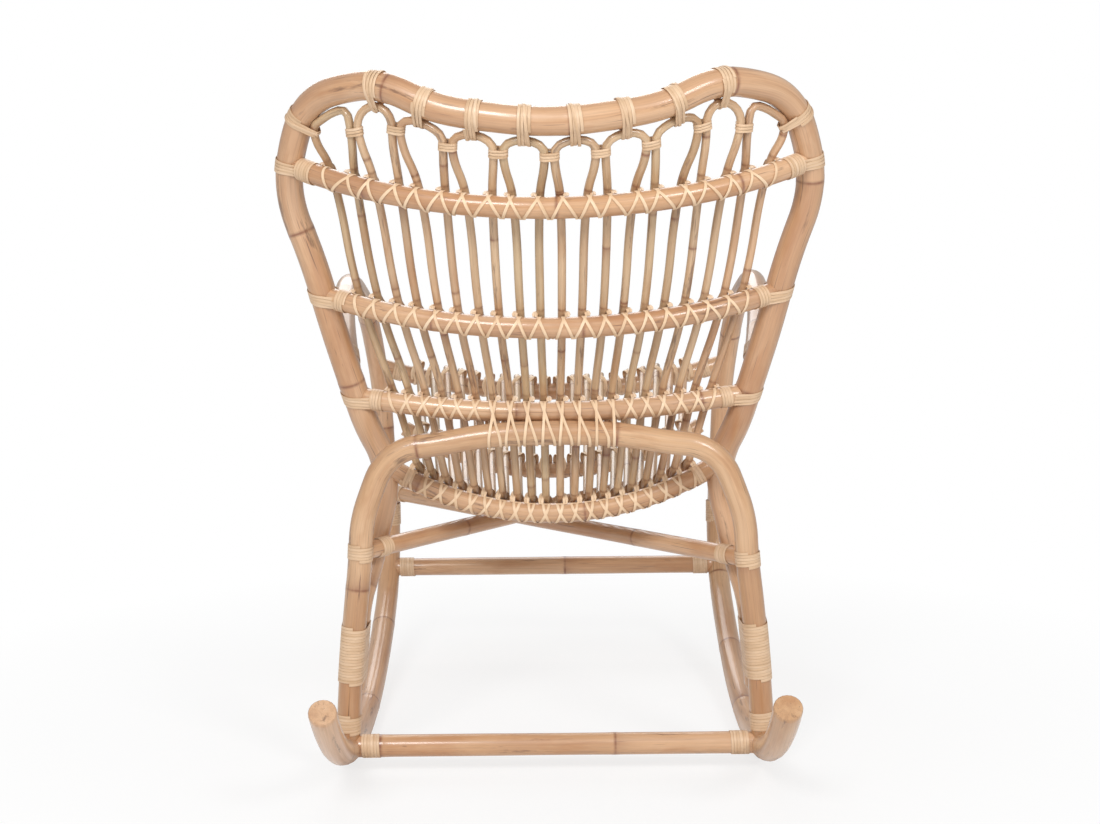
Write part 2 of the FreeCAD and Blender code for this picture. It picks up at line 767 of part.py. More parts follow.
arm_bindings = []
front_bindings = []
splice_bindings = []
foot_bindings = []
long_bindings = []
rear_wraps = []
front_wraps = []
for side in SIDES:
    arm = arms[side]
    arm_at = arm.length - radius("hoop_pole") * OBLIQUE ** 2 - wrap_half(ARM_END_TURNS)
    arm_bindings.append(bound("arm_end_" + side, arm, arm_at, "arm_pole", ARM_END_TURNS))
    rail = rails["front"]
    inset = radius("arm_pole") * OBLIQUE ** 2 + wrap_half(FRONT_END_TURNS)
    rail_at = inset if side == "right" else rail.length - inset
    front_bindings.append(bound("front_end_" + side, rail, rail_at, "front_rail_pole", FRONT_END_TURNS))
    splice_bindings.append(bound("splice_" + side, rockers[side], rockers[side].length, "rocker_pole", SPLICE_TURNS))

    above_stretcher = radius("stretcher_pole") + size("strip") + 2 * gap + wrap_half(FOOT_TURNS)
    foot_length = on_leg(rear_seat.z + above_stretcher)
    lash_middle = (size("lash_top_z") + size("lash_low_z")) / 2
    lash_length = on_leg(lash_middle)
    lash_turns = int((size("lash_top_z") - size("lash_low_z")) / turn_pitch)
    pair = radius("hoop_pole") + strip_radius + 4 * gap
    for name, at, turns, group in (
        ("foot_" + side, foot_length, FOOT_TURNS, foot_bindings),
        ("lash_" + side, lash_length, lash_turns, long_bindings),
    ):
        origin = on_side(leg_curve.point(at), side)
        axis = on_side(leg_curve.tangent(at), side)
        if group is long_bindings:
            group.append(wound(name, origin, axis, lash_step, turns, pair, pair, pair, lash_step.Length))
        else:
            reach = radius("leg_pole") + strip_radius + gap + stray(leg_curve, at, turns)
            group.append(wound(name, origin, axis, lash_step, turns, reach, reach, reach))

    for name, curve, meeting, group in (
        ("rear_wrap_" + side, rear_stretcher, radius("rocker_pole"), rear_wraps),
        ("front_wrap_" + side, front_stretcher, radius("rocker_pole"), front_wraps),
    ):
        inset = meeting + wrap_half(STRETCHER_TURNS)
        at = inset if side == "right" else curve.length - inset
        group.append(bound(name, curve, at, "stretcher_pole", STRETCHER_TURNS))
finish("arm_end_bindings", arm_bindings)
finish("front_rail_bindings", front_bindings)
finish("splice_bindings", splice_bindings)
finish("foot_bindings", foot_bindings)
finish("long_leg_bindings", long_bindings)
finish("rear_stretcher_bindings", rear_wraps)
finish("front_stretcher_bindings", front_wraps)

brace_bindings = []
for brace, (rear_side, front_side) in BRACES.items():
    curve = brace_curves[brace]
    leg_at = on_leg(size(brace + "_brace_rear_z"))
    reach = radius("leg_pole") + strip_radius + gap + stray(leg_curve, leg_at, LEG_TURNS)
    origin = on_side(leg_curve.point(leg_at), rear_side)
    axis = on_side(leg_curve.tangent(leg_at), rear_side)
    name = brace + "_brace_leg_binding"
    brace_bindings.append(wound(name, origin, axis, lash_step, LEG_TURNS, reach, reach, reach))
    rear_inset = radius("leg_pole") * OBLIQUE ** 2 + size("strip") + wrap_half(LEG_TURNS)
    front_inset = radius("arm_pole") * OBLIQUE ** 2 + wrap_half(LEG_TURNS)
    brace_bindings.append(bound(brace + "_brace_rear", curve, rear_inset, "brace_pole", LEG_TURNS))
    brace_bindings.append(bound(brace + "_brace_front", curve, curve.length - front_inset, "brace_pole", LEG_TURNS))
finish("brace_bindings", brace_bindings)


# Lacing: one strip per rail, over each slat from gap to gap and back behind the rail
def tied_pole(rail, length, reach):
    """What the strip passes behind: the rail, or the top of the leg hoop where it is tied to the rail."""
    point = rails[rail].point(length)
    if rail != "lower" or abs(point.x) > size("hoop_tie_half"):
        return point, reach
    quarter = leg_curve.length / 4
    under = leg_curve.point(leg_curve.find("x", point.x, quarter, 3 * quarter))
    return under, radius("leg_pole") + strip_radius + gap


def front_reach(rail, half_step):
    """How far in front of a rail the strip crosses a slat on its way from gap to gap."""
    slat_centre = radius(rail_poles[rail]) + radius("slat_cane") + gap
    clear = (radius("slat_cane") + strip_radius) * OBLIQUE ** 2
    reaches = []
    for angle in range(0, 60, 5):
        turn = math.radians(angle)
        beside = min(half_step * math.sin(turn), clear)
        reaches.append((slat_centre + math.sqrt(clear ** 2 - beside ** 2)) / math.cos(turn))
    return max(reaches[:1] + [reach for reach in reaches if reach < 2 * slat_centre])


def lacing(label, rail):
    stations = []
    for loop in range(LOOPS):
        for leg in (-1, 1):
            stations.append((rail_length_at(rail, leg_x(rail, loop, leg)), slat_crossings(loop, leg)))
    number = list(rails).index(rail)
    curve = rails[rail]
    reach = radius(rail_poles[rail]) + strip_radius + gap
    lengths = [length for length, _ in stations]
    outer = radius("slat_cane") + size("strip") + gap
    bounds = [lengths[0] - outer]
    bounds += [(before + after) / 2 for before, after in zip(lengths, lengths[1:])]
    bounds.append(lengths[-1] + outer * OBLIQUE ** 2)
    points = []
    tangents = []
    for (length, crossings), low, high in zip(stations, bounds, bounds[1:]):
        inward = crossings[number][1]
        along = curve.tangent(length)
        upward = inward.cross(along)
        front = front_reach(rail, min(length - low, high - length))
        under, under_reach = tied_pole(rail, low, reach)
        behind, behind_reach = tied_pole(rail, high, reach)
        points += [under - upward * under_reach, curve.point(length) + inward * front]
        points += [curve.point(high) + upward * reach, behind - inward * behind_reach]
        tangents += [inward, unit(upward * reach + along * ((high - low) / 2)), inward * -1, upward * -1]
    finish(label, [strip_along(label + "_strip", joined_arcs(points, tangents), len(stations))])


LACINGS = {
    "front": "front_rail_lacing",
    "seat_middle": "seat_middle_lacing",
    "seat_rear": "seat_rear_lacing",
    "lower": "lower_rail_lacing",
    "middle": "middle_rail_lacing",
    "upper": "upper_rail_lacing",
}
for rail, label in LACINGS.items():
    lacing(label, rail)

# The origin lies on the floor under the line on which the rockers stand
for piece in sub_parts.values():
    piece.Placement = FreeCAD.Placement(Vector(0, -size("contact_y"), 0), FreeCAD.Rotation())
doc.recompute()

for item in doc.Objects:
    if "Invalid" in item.State or "Error" in item.State:
        raise RuntimeError("%s failed: %s" % (item.Label, item.State))
for label, piece in sub_parts.items():
    if piece.Shape.isNull() or not piece.Shape.isValid():
        raise RuntimeError("%s has no valid shape" % label)

closest = min(winding_gaps, key=winding_gaps.get)
print("least gap of a winding to itself: %.2f mm, in %s" % (winding_gaps[closest], closest))

os.makedirs("parts", exist_ok=True)
for label, piece in sub_parts.items():
    piece.Shape.exportStep(os.path.join("parts", label + ".step"))
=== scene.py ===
"""Rattan rocking chair, dressed: varnished rattan poles, looped cane slats and bindings of split cane."""
import math
import random

import bpy
import numpy as np
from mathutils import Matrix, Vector


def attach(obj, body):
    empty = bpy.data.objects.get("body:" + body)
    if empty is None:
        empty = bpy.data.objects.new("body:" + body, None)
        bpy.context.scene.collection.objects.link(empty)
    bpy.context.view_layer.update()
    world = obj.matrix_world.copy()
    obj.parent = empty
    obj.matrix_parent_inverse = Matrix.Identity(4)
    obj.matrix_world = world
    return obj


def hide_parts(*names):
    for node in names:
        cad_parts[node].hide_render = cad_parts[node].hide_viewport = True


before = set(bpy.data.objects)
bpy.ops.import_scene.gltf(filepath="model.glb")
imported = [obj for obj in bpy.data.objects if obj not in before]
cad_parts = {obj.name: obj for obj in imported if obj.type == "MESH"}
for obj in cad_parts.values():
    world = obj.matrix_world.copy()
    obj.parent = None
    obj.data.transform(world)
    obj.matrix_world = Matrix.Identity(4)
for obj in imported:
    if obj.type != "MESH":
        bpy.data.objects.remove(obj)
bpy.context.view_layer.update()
bpy.ops.object.select_all(action="DESELECT")

# Rockers: the two floor poles, thick rattan steamed to a long arc, with the tail bent up and cut square
# and the front swept up to meet the leg. Peeled pole shows its growth rings as dark knuckles, and its
# pieces are varnished.
ROCKER_RADIUS = 0.018
ROCKER_HALF_TRACK = 0.284
FLOOR_ARC_RADIUS = 0.950
TAIL_BEND = {"radius": 0.480, "from": 10, "to": 44}
FRONT_BEND = {"radius": 0.150, "from": 24.5, "to": 90}
PATH_STEP = 0.002
TURN_STEP = 0.25
SIDES = {"left": 1, "right": -1}


def lengths_and_runs(points):
    """The length along a line at each of its points, and its direction there."""
    steps = np.linalg.norm(np.diff(points, axis=0), axis=1)
    lengths = np.concatenate([[0], np.cumsum(steps)])
    runs = np.gradient(points, lengths, axis=0)
    return lengths, runs / np.linalg.norm(runs, axis=1)[:, None]


class Bend:
    """The centre line of a bent pole, with a cross-wise frame carried along it without twist."""

    def __init__(self, points, crosswise):
        self.points = np.array([tuple(point) for point in points])
        self.lengths, self.runs = lengths_and_runs(self.points)
        self.length = self.lengths[-1]
        carried = np.array(tuple(crosswise), float)
        self.first = np.zeros_like(self.points)
        for number, run in enumerate(self.runs):
            carried = carried - run * carried.dot(run)
            carried = carried / np.linalg.norm(carried)
            self.first[number] = carried
        self.second = np.cross(self.runs, self.first)

    def blend(self, rows, along):
        return np.stack([np.interp(along, self.lengths, rows[:, axis]) for axis in range(3)], axis=-1)

    def point(self, along):
        return Vector(self.blend(self.points, along))

    def run(self, along):
        return Vector(self.blend(self.runs, along)).normalized()

    def angle(self, along, direction):
        """The turn about the pole, from its carried frame, at which a direction lies."""
        sideways = Vector(self.blend(self.first, along)).dot(direction)
        return math.atan2(Vector(self.blend(self.second, along)).dot(direction), sideways)

    def around(self, along, turn, reach):
        """Points at a reach from the centre line, and the outward direction at each."""
        along, turn, reach = np.broadcast_arrays(along, turn, reach)
        outward = np.cos(turn)[..., None] * self.blend(self.first, along)
        outward = outward + np.sin(turn)[..., None] * self.blend(self.second, along)
        return self.blend(self.points, along) + outward * reach[..., None], outward

    def find(self, axis, value, low=0, high=None):
        """The length at which a coordinate passes a value, where it only rises or only falls."""
        high = self.length if high is None else high
        stretch = (self.lengths >= low) & (self.lengths <= high)
        rows = self.points[stretch, "xyz".index(axis)]
        lengths = self.lengths[stretch]
        if rows[-1] < rows[0]:
            rows, lengths = rows[::-1], lengths[::-1]
        return float(np.interp(value, rows, lengths))

    def place(self, *where):
        """The point at which a coordinate passes a value."""
        return self.point(self.find(*where))


def across(point):
    return Vector((-point.x, point.y, point.z))


def on_side(point, side):
    return point if SIDES[side] > 0 else across(point)


def rocker_path(side):
    """From the cut tail, along the floor arc, up the front sweep to the splice."""
    x = SIDES[side] * ROCKER_HALF_TRACK

    def floor_point(angle):
        turn = math.radians(angle)
        rise = FLOOR_ARC_RADIUS * (1 - math.cos(turn))
        return Vector((x, FLOOR_ARC_RADIUS * math.sin(turn), ROCKER_RADIUS + rise))

    def bent(bend, angle, sign):
        start = math.radians(bend["from"])
        turn = math.radians(angle)
        run = bend["radius"] * (math.sin(turn) - math.sin(start))
        rise = bend["radius"] * (math.cos(start) - math.cos(turn))
        return floor_point(sign * bend["from"]) + Vector((0, sign * run, rise))

    tail_turns = np.arange(TAIL_BEND["to"], TAIL_BEND["from"], -TURN_STEP)
    floor_turns = np.arange(TAIL_BEND["from"], -FRONT_BEND["from"], -TURN_STEP / 2)
    front_turns = np.arange(FRONT_BEND["from"], FRONT_BEND["to"] + TURN_STEP, TURN_STEP * 2)
    tail = [bent(TAIL_BEND, angle, 1) for angle in tail_turns]
    floor = [floor_point(angle) for angle in floor_turns]
    front = [bent(FRONT_BEND, angle, -1) for angle in front_turns]
    return Bend(tail + floor + front, (SIDES[side], 0, 0))


def rolled_mesh(name, rings, straight, growth):
    """A closed tube through rings of points. Each point keeps its place on the straight stick."""
    stations, sides = rings.shape[:2]
    bpy.ops.mesh.primitive_grid_add(x_subdivisions=sides, y_subdivisions=stations - 1, size=1)
    tube = bpy.context.object
    tube.name = name
    mesh = tube.data
    mesh.name = name
    seam = list(range(sides)) + [0]
    mesh.vertices.foreach_set("co", rings[:, seam].reshape(-1).astype(np.float32))
    stick = mesh.attributes.new("stick", "FLOAT_VECTOR", "POINT")
    stick.data.foreach_set("vector", straight[:, seam].reshape(-1).astype(np.float32))
    for label, rows in growth.items():
        layer = mesh.attributes.new(label, "FLOAT", "POINT")
        values = np.broadcast_to(rows, (stations, sides))[:, seam]
        layer.data.foreach_set("value", values.reshape(-1).astype(np.float32))
    bpy.ops.object.mode_set(mode="EDIT")
    bpy.ops.mesh.select_all(action="SELECT")
    bpy.ops.mesh.remove_doubles(threshold=1e-6)
    bpy.ops.mesh.fill_holes(sides=0)
    bpy.ops.mesh.normals_make_consistent(inside=False)
    bpy.ops.object.mode_set(mode="OBJECT")
    bpy.ops.object.shade_smooth_by_angle(angle=math.radians(50))
    for face in mesh.polygons:
        if len(face.vertices) > 4:
            face.material_index = 1
    tube.select_set(False)
    return tube


MILLIMETRE = 0.001
STATION_STEP = 0.008
KNUCKLE_STATIONS = (-14, -7, -4, -2, -0.8, 0.4, 1.6, 3.5, 7, 14)
# Stations and half width of the painted shade marks on the canes.
SHADE_MARK_STATIONS = (-3.5, -1.8, 0, 1.8, 3.5)
RING_HALF = 0.0021
SWELL_HALF = 0.0055
SMUDGE_LENGTH = 0.011
SHADE_MARK_HALF = 0.0019


def rattan_stick(name, bend, radius, seed, knuckle_gap, sides=20, cuts=(0, 0), shade_marks=()):
    """A pole or cane along a bend: knuckles at uneven gaps, a slightly uneven girth, eased cut ends.

    Cuts are what is taken off the two ends. Shade marks are lengths along the stick at which painted shade
    darkens the skin beside a lacing strip.
    """
    chance = random.Random(seed)
    start = cuts[0]
    end = bend.length - cuts[1]
    knuckles = [start - chance.uniform(0.1, 0.6) * knuckle_gap]
    while knuckles[-1] < end + knuckle_gap:
        knuckles.append(knuckles[-1] + knuckle_gap * chance.uniform(0.72, 1.28))
    ease = radius * 0.1
    along = list(np.linspace(start, end, max(3, int((end - start) / STATION_STEP))))
    along += [start + ease, end - ease]
    for knuckle in knuckles:
        near = [knuckle + offset * MILLIMETRE for offset in KNUCKLE_STATIONS]
        along += [place for place in near if start + 2 * ease < place < end - 2 * ease]
    for shade_mark in shade_marks:
        along += [shade_mark + offset * MILLIMETRE for offset in SHADE_MARK_STATIONS]
    along = np.unique(np.round(along, 5))
    nearest = np.abs(along[:, None] - np.array(knuckles)[None, :]).min(axis=1)
    ring = np.exp(-(nearest / RING_HALF) ** 2)
    for knuckle in knuckles:
        smudge = chance.uniform(-0.35, 0.85)
        spread = chance.choice((-1, 1)) * (along - knuckle)
        ring = np.maximum(ring, smudge * np.exp(-spread / SMUDGE_LENGTH) * (spread > 0))
    swell = np.exp(-(nearest / SWELL_HALF) ** 2)
    tones = np.array([chance.uniform(0, 1) for _ in knuckles])
    tone = tones[np.clip(np.searchsorted(knuckles, along) - 1, 0, len(tones) - 1)]
    phase = chance.uniform(0, 6)
    girth = radius * (1 + 0.028 * swell - 0.012 * ring)
    girth = girth * (1 + 0.008 * np.sin(along * 13 + phase) + 0.006 * np.sin(along * 31 + 2 * phase))
    girth[[0, -1]] = girth[[0, -1]] * 0.93
    # Painted shade: the skin darkens at each shade mark, carried in the knuckle attribute together with the
    # real knuckle rings and smudges.
    for shade_mark in shade_marks:
        ring = np.maximum(ring, 0.8 * np.exp(-((along - shade_mark) / SHADE_MARK_HALF) ** 2))
    turns = np.arange(sides) * 2 * math.pi / sides
    oval = 1 + 0.012 * np.cos(2 * turns[None, :] + 3 * along[:, None] + phase)
    reach = girth[:, None] * oval
    rings, _ = bend.around(along[:, None], turns[None, :], reach)
    shift = chance.uniform(0, 40)
    straight = np.stack([
        np.repeat(along[:, None] + shift, sides, axis=1), reach * np.cos(turns), reach * np.sin(turns),
    ], axis=-1)
    growth = {"knuckle": ring[:, None], "tone": tone[:, None], "tint": chance.uniform(0, 1)}
    return rolled_mesh(name, rings, straight, growth)


def feed(node, links):
    """Set inputs of a shader node, each from a value or from a socket."""
    for socket, source in links.items():
        if isinstance(source, bpy.types.NodeSocket):
            node.id_data.links.new(source, node.inputs[socket])
        else:
            node.inputs[socket].default_value = source


def shader_node(tree, kind, links=None, **settings):
    """A new shader node with its settings and inputs."""
    made = tree.nodes.new(kind)
    for label, setting in settings.items():
        setattr(made, label, setting)
    feed(made, links or {})
    return made


def colour_steps(tree, factor, steps):
    """A colour ramp through (position, colour) steps."""
    ramp = shader_node(tree, "ShaderNodeValToRGB", {"Fac": factor})
    elements = ramp.color_ramp.elements
    while len(elements) < len(steps):
        elements.new(0.5)
    for element, (position, colour) in zip(elements, steps):
        element.position = position
        element.color = (*colour, 1)
    return ramp.outputs["Color"]


def grain(tree, place, scale, detail, roughness=0.55):
    """Noise stretched along the stick, with its scale in cycles per metre."""
    mapped = shader_node(tree, "ShaderNodeMapping", {"Vector": place, "Scale": scale})
    noise = {"Vector": mapped.outputs[0], "Scale": 1.0, "Detail": detail, "Roughness": roughness}
    return shader_node(tree, "ShaderNodeTexNoise", noise).outputs["Fac"]


def mixed(tree, factor, *colours, blend_type="MIX"):
    """Two colours mixed by a factor, each given as a colour or as a socket."""
    links = {0: factor}
    for socket, colour in zip((6, 7), colours):
        links[socket] = colour if isinstance(colour, bpy.types.NodeSocket) else (*colour, 1)
    return shader_node(tree, "ShaderNodeMix", links, data_type="RGBA", blend_type=blend_type).outputs[2]


def ranged(tree, value, low, high, to_low, to_high):
    links = {"Value": value, 1: low, 2: high, 3: to_low, 4: to_high}
    return shader_node(tree, "ShaderNodeMapRange", links).outputs[0]


def new_finish(name):
    """A material, its node tree and its shader."""
    finish = bpy.data.materials.new(name)
    finish.use_nodes = True
    return finish, finish.node_tree, finish.node_tree.nodes["Principled BSDF"]


def on_stick(tree, label, output="Fac"):
    """What the mesh of a stick carries under a label."""
    return shader_node(tree, "ShaderNodeAttribute", attribute_name=label).outputs[output]


def relief(tree, height, strength, depth):
    bump = {"Height": height, "Strength": strength, "Distance": depth}
    return shader_node(tree, "ShaderNodeBump", bump).outputs[0]


# Dark brown of the knuckle rings, also used for the painted shade on the canes beside the rails.
KNUCKLE_AND_SHADE_BROWN = (0.235, 0.085, 0.040)
RUST_BROWN = (0.450, 0.205, 0.085)
STAIN_BROWN = (0.150, 0.075, 0.045)


def varnished_rattan(name, colours, tints, stain_share, gloss):
    """Peeled, varnished rattan: fibres along the stick, a tone for each joint, dark knuckles, stains, and
    painted shade where the stick carries shade marks.
    """
    pale, honey, deep = colours
    finish, tree, shader = new_finish(name)
    place = on_stick(tree, "stick", "Vector")
    broad = grain(tree, place, (5, 40, 40), 3)
    fibres = grain(tree, place, (12, 700, 700), 4, 0.6)
    streaks = grain(tree, place, (3.5, 170, 170), 3)
    patches = grain(tree, place, (7, 30, 30), 4, 0.62)
    blots = grain(tree, place, (9, 55, 55), 5, 0.7)
    cracks = grain(tree, place, (11, 420, 420), 2, 0.5)
    base = colour_steps(tree, broad, [(0.28, deep), (0.5, honey), (0.74, pale)])
    joint_tint = colour_steps(tree, on_stick(tree, "tone"), [(0.0, honey), (0.55, pale), (1.0, deep)])
    base = mixed(tree, 0.45, base, joint_tint)
    for noise, low, high, share, colour in (
        (streaks, 0.5, 0.72, 0.42, deep),
        (fibres, 0.45, 0.75, 0.24, STAIN_BROWN),
        (patches, 0.50, 0.64, 0.5, RUST_BROWN),
        (blots, 0.64 - stain_share, 0.72 - stain_share, 0.7, STAIN_BROWN),
        (cracks, 0.67, 0.73, 0.7, STAIN_BROWN),
    ):
        base = mixed(tree, ranged(tree, noise, low, high, 0.0, share), base, colour)
    tint_steps = [(0.0, tints[0]), (0.5, (1, 1, 1)), (1.0, tints[1])]
    stick_tint = colour_steps(tree, on_stick(tree, "tint"), tint_steps)
    base = mixed(tree, 1.0, base, stick_tint, blend_type="MULTIPLY")
    wear = ranged(tree, grain(tree, place, (0.5, 90, 90), 2), 0.3, 0.6, 0.35, 0.95)
    # The knuckle attribute holds the dark knuckle rings and smudges, and on the canes also painted shade
    # just above each rail.
    worn = {0: on_stick(tree, "knuckle"), 1: wear}
    rings = shader_node(tree, "ShaderNodeMath", worn, operation="MULTIPLY")
    base = mixed(tree, rings.outputs[0], base, KNUCKLE_AND_SHADE_BROWN)
    feed(shader, {
        "Base Color": base, "Roughness": ranged(tree, broad, 0.2, 0.8, gloss + 0.16, gloss),
        "Coat Weight": 0.65, "Coat Roughness": 0.15, "Normal": relief(tree, fibres, 0.22, 0.0006),
    })
    return finish


PITH_SHADE = (0.42, 0.27, 0.14)
PITH_PALE = (0.60, 0.42, 0.24)
PORE_BROWN = (0.20, 0.11, 0.05)


def cut_end_wood(name):
    """The sawn end of a pole: pale, cloudy pith with dark pores."""
    finish, tree, shader = new_finish(name)
    place = shader_node(tree, "ShaderNodeTexCoord").outputs["Object"]
    pores = shader_node(tree, "ShaderNodeTexVoronoi", {"Vector": place, "Scale": 900.0}).outputs["Distance"]
    clouds = shader_node(tree, "ShaderNodeTexNoise", {"Vector": place, "Scale": 90.0, "Detail": 4.0})
    base = colour_steps(tree, clouds.outputs["Fac"], [(0.3, PITH_SHADE), (0.7, PITH_PALE)])
    base = mixed(tree, ranged(tree, pores, 0.05, 0.35, 0.55, 0.0), base, PORE_BROWN)
    feed(shader, {"Base Color": base, "Roughness": 0.7, "Normal": relief(tree, pores, 0.4, 0.0008)})
    return finish


POLE_COLOURS = (0.740, 0.490, 0.310), (0.610, 0.355, 0.190), (0.430, 0.215, 0.108)
POLE_TINTS = (0.97, 0.97, 0.92), (1.0, 0.97, 0.92)
POLE_FINISH = varnished_rattan("honey_rattan_pole", POLE_COLOURS, POLE_TINTS, stain_share=0.03, gloss=0.30)
CUT_END = cut_end_wood("sawn_rattan_end")
POLE_KNUCKLES = 0.27


def fit_piece(piece, slot, finishes, *nodes):
    """Give a piece its finishes, and its place for the nodes that it stands for."""
    piece.data.materials.clear()
    for finish in finishes:
        piece.data.materials.append(finish)
    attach(piece, "root")
    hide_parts(*nodes)


def pole_piece(name, node, *stick, **cuts):
    """A varnished pole with sawn ends, which stands for one node."""
    fit_piece(rattan_stick(name, *stick, **cuts), "rattan_pole", [POLE_FINISH, CUT_END], node)


rockers = {side: rocker_path(side) for side in SIDES}
for number, side in enumerate(SIDES):
    pole_piece("rocker_pole_" + side, "rocker_" + side, rockers[side], ROCKER_RADIUS, 11 + number,
               POLE_KNUCKLES)

# Rear leg hoop: one pole bent to an inverted U. It stands on the rockers, and its top is tucked under the
# lower back rail, which the lacing ties to it.
LEG_RADIUS = 0.016
RAIL_RADIUS = 0.0135
SEAT_GAP = 0.0003
LOWER_RAIL_MIDDLE = Vector((0, 0.176, 0.496))
LEG_LEAN = math.radians(30)
LEG_BENDS = [(0.125, 0.190, 0.461), (0.221, 0.187, 0.432), (0.247, 0.185, 0.380), (0.264, 0.180, 0.265)]
REAR_FOOT_Y = 0.174
COPED = 0.010
LEFT_LEG_FROM = 0.56


def arc_points(start, tangent, end):
    """Points of the arc that leaves start along tangent and reaches end, without its start."""
    chord = end - start
    cosine = min(1.0, chord.normalized().dot(tangent))
    half_turn = math.acos(cosine)
    if half_turn < 1e-4:
        count = max(2, int(chord.length / PATH_STEP))
        return [start + chord * (number / count) for number in range(1, count + 1)]
    inward = (chord - tangent * chord.dot(tangent)).normalized()
    radius = chord.length / (2 * math.sin(half_turn))
    count = max(4, int(2 * half_turn * radius / PATH_STEP))
    path = []
    for number in range(1, count + 1):
        turn = 2 * half_turn * number / count
        turned_in = inward * (radius * (1 - math.cos(turn)))
        path.append(start + turned_in + tangent * (radius * math.sin(turn)))
    return path


def two_arc_points(start, start_run, end, end_run):
    """A pair of arcs that keeps both end directions."""
    chord = end - start
    square = 2 * (1 - start_run.dot(end_run))
    linear = 2 * chord.dot(start_run + end_run)
    reach = chord.dot(chord) / linear
    if square > 1e-9:
        reach = (math.sqrt(linear ** 2 + 4 * square * chord.dot(chord)) - linear) / (2 * square)
    first = start + start_run * reach
    last = end - end_run * reach
    meeting = (first + last) / 2
    return arc_points(start, start_run, meeting) + arc_points(meeting, (last - first).normalized(), end)


def round_runs(points):
    """At each point, the direction of the circle through it and its neighbours."""
    steps = [after - before for before, after in zip(points, points[1:])]
    inner = [(a / a.dot(a) + b / b.dot(b)).normalized() for a, b in zip(steps, steps[1:])]
    first = steps[0].normalized()
    last = steps[-1].normalized()
    start = first * (2 * inner[0].dot(first)) - inner[0]
    end = last * (2 * inner[-1].dot(last)) - inner[-1]
    return [start] + inner + [end]


def joined(points, runs, crosswise):
    """A bend through the points with the given direction at each."""
    path = [points[0]]
    for number in range(len(points) - 1):
        path += two_arc_points(points[number], runs[number], points[number + 1], runs[number + 1])
    return Bend(path, crosswise)


leg_top = LOWER_RAIL_MIDDLE + Vector((0, math.sin(LEG_LEAN), -math.cos(LEG_LEAN))) * (
    RAIL_RADIUS + LEG_RADIUS + SEAT_GAP)
leg_foot = rockers["left"].place("y", REAR_FOOT_Y, 0, rockers["left"].length / 2)
leg_side = [Vector(place) for place in LEG_BENDS] + [leg_foot]
leg_points = [across(point) for point in reversed(leg_side)] + [leg_top] + leg_side
leg_bend = joined(leg_points, round_runs(leg_points), (0, 1, 0))


def leg_at(height, hand=1):
    """The length along the leg hoop at a height, on its left or right leg."""
    at = leg_bend.find("z", height, leg_bend.length * LEFT_LEG_FROM)
    return at if hand > 0 else leg_bend.length - at


pole_piece("rear_leg_hoop_pole", "rear_leg_hoop", leg_bend, LEG_RADIUS, 21, POLE_KNUCKLES,
           cuts=(COPED, COPED))

# Back hoop: the butterfly outline, one thick pole dipped at the middle of the top and rounded at the ears.
# Its two ends run down in front of the rear legs and are lashed to them.
HOOP_RADIUS = 0.018
HOOP_TOP = Vector((0, 0.369, 0.870))
HOOP_BENDS = [
    (0.105, 0.359, 0.881), (0.235, 0.312, 0.917), (0.296, 0.271, 0.899), (0.331, 0.229, 0.832),
    (0.300, 0.180, 0.655), (0.259, 0.134, 0.496), (0.232, 0.098, 0.400), (0.247, 0.109, 0.310),
]
HOOP_WIDEST_Z = 0.832
HOOP_EAR_FROM = 0.64
LASH_TOP_Z = 0.209
HOOP_END_Z = 0.110
lash_step = Vector((0, -(LEG_RADIUS + HOOP_RADIUS + SEAT_GAP), 0))
lash_ends = [leg_at(LASH_TOP_Z), leg_at(HOOP_END_Z)]
hoop_side = [Vector(place) for place in HOOP_BENDS] + [leg_bend.point(at) + lash_step for at in lash_ends]
hoop_points = [across(point) for point in reversed(hoop_side)] + [HOOP_TOP] + hoop_side
hoop_runs = round_runs(hoop_points)
for number, at in zip((-2, -1), lash_ends):
    hoop_runs[number] = leg_bend.run(at)
    hoop_runs[-1 - number] = -across(leg_bend.run(at))
hoop_bend = joined(hoop_points, hoop_runs, (0, 1, 0))
hoop_widest = hoop_bend.find("z", HOOP_WIDEST_Z, hoop_bend.length * HOOP_EAR_FROM)


def hoop_top_at(x):
    """The length along the hoop's top at a sideways place."""
    return hoop_bend.find("x", x, hoop_bend.length - hoop_widest, hoop_widest)


def hoop_side_at(height):
    """The length along the hoop's left side at a height."""
    return hoop_bend.find("z", height, hoop_widest)


pole_piece("back_hoop_pole", "back_hoop", hoop_bend, HOOP_RADIUS, 31, POLE_KNUCKLES)

# Arm poles: each rises as the front leg from the rocker's sweep, arches back over the arm rest and ends
# against the side of the back hoop.
ARM_RADIUS = 0.0165
ARM_BENDS = [
    (0.288, -0.486, 0.340), (0.293, -0.478, 0.450), (0.302, -0.436, 0.552), (0.309, -0.226, 0.648),
    (0.296, 0.004, 0.615),
]
ARM_END_Z = 0.545
FRONT_LEG_TO = 0.4


def arm_bend_on(side):
    ends = rockers[side].point(rockers[side].length), hoop_bend.point(hoop_side_at(ARM_END_Z))
    points = [ends[0]] + [on_side(Vector(place), side) for place in ARM_BENDS] + [on_side(ends[1], side)]
    runs = round_runs(points)
    runs[0] = Vector((0, 0, 1))
    return joined(points, runs, (SIDES[side], 0, 0))


arms = {side: arm_bend_on(side) for side in SIDES}


def front_leg_at(side, height):
    return arms[side].find("z", height, 0, arms[side].length * FRONT_LEG_TO)


for number, side in enumerate(SIDES):
    pole_piece("arm_pole_" + side, "arm_" + side, arms[side], ARM_RADIUS, 41 + number, POLE_KNUCKLES,
               cuts=(0, COPED))

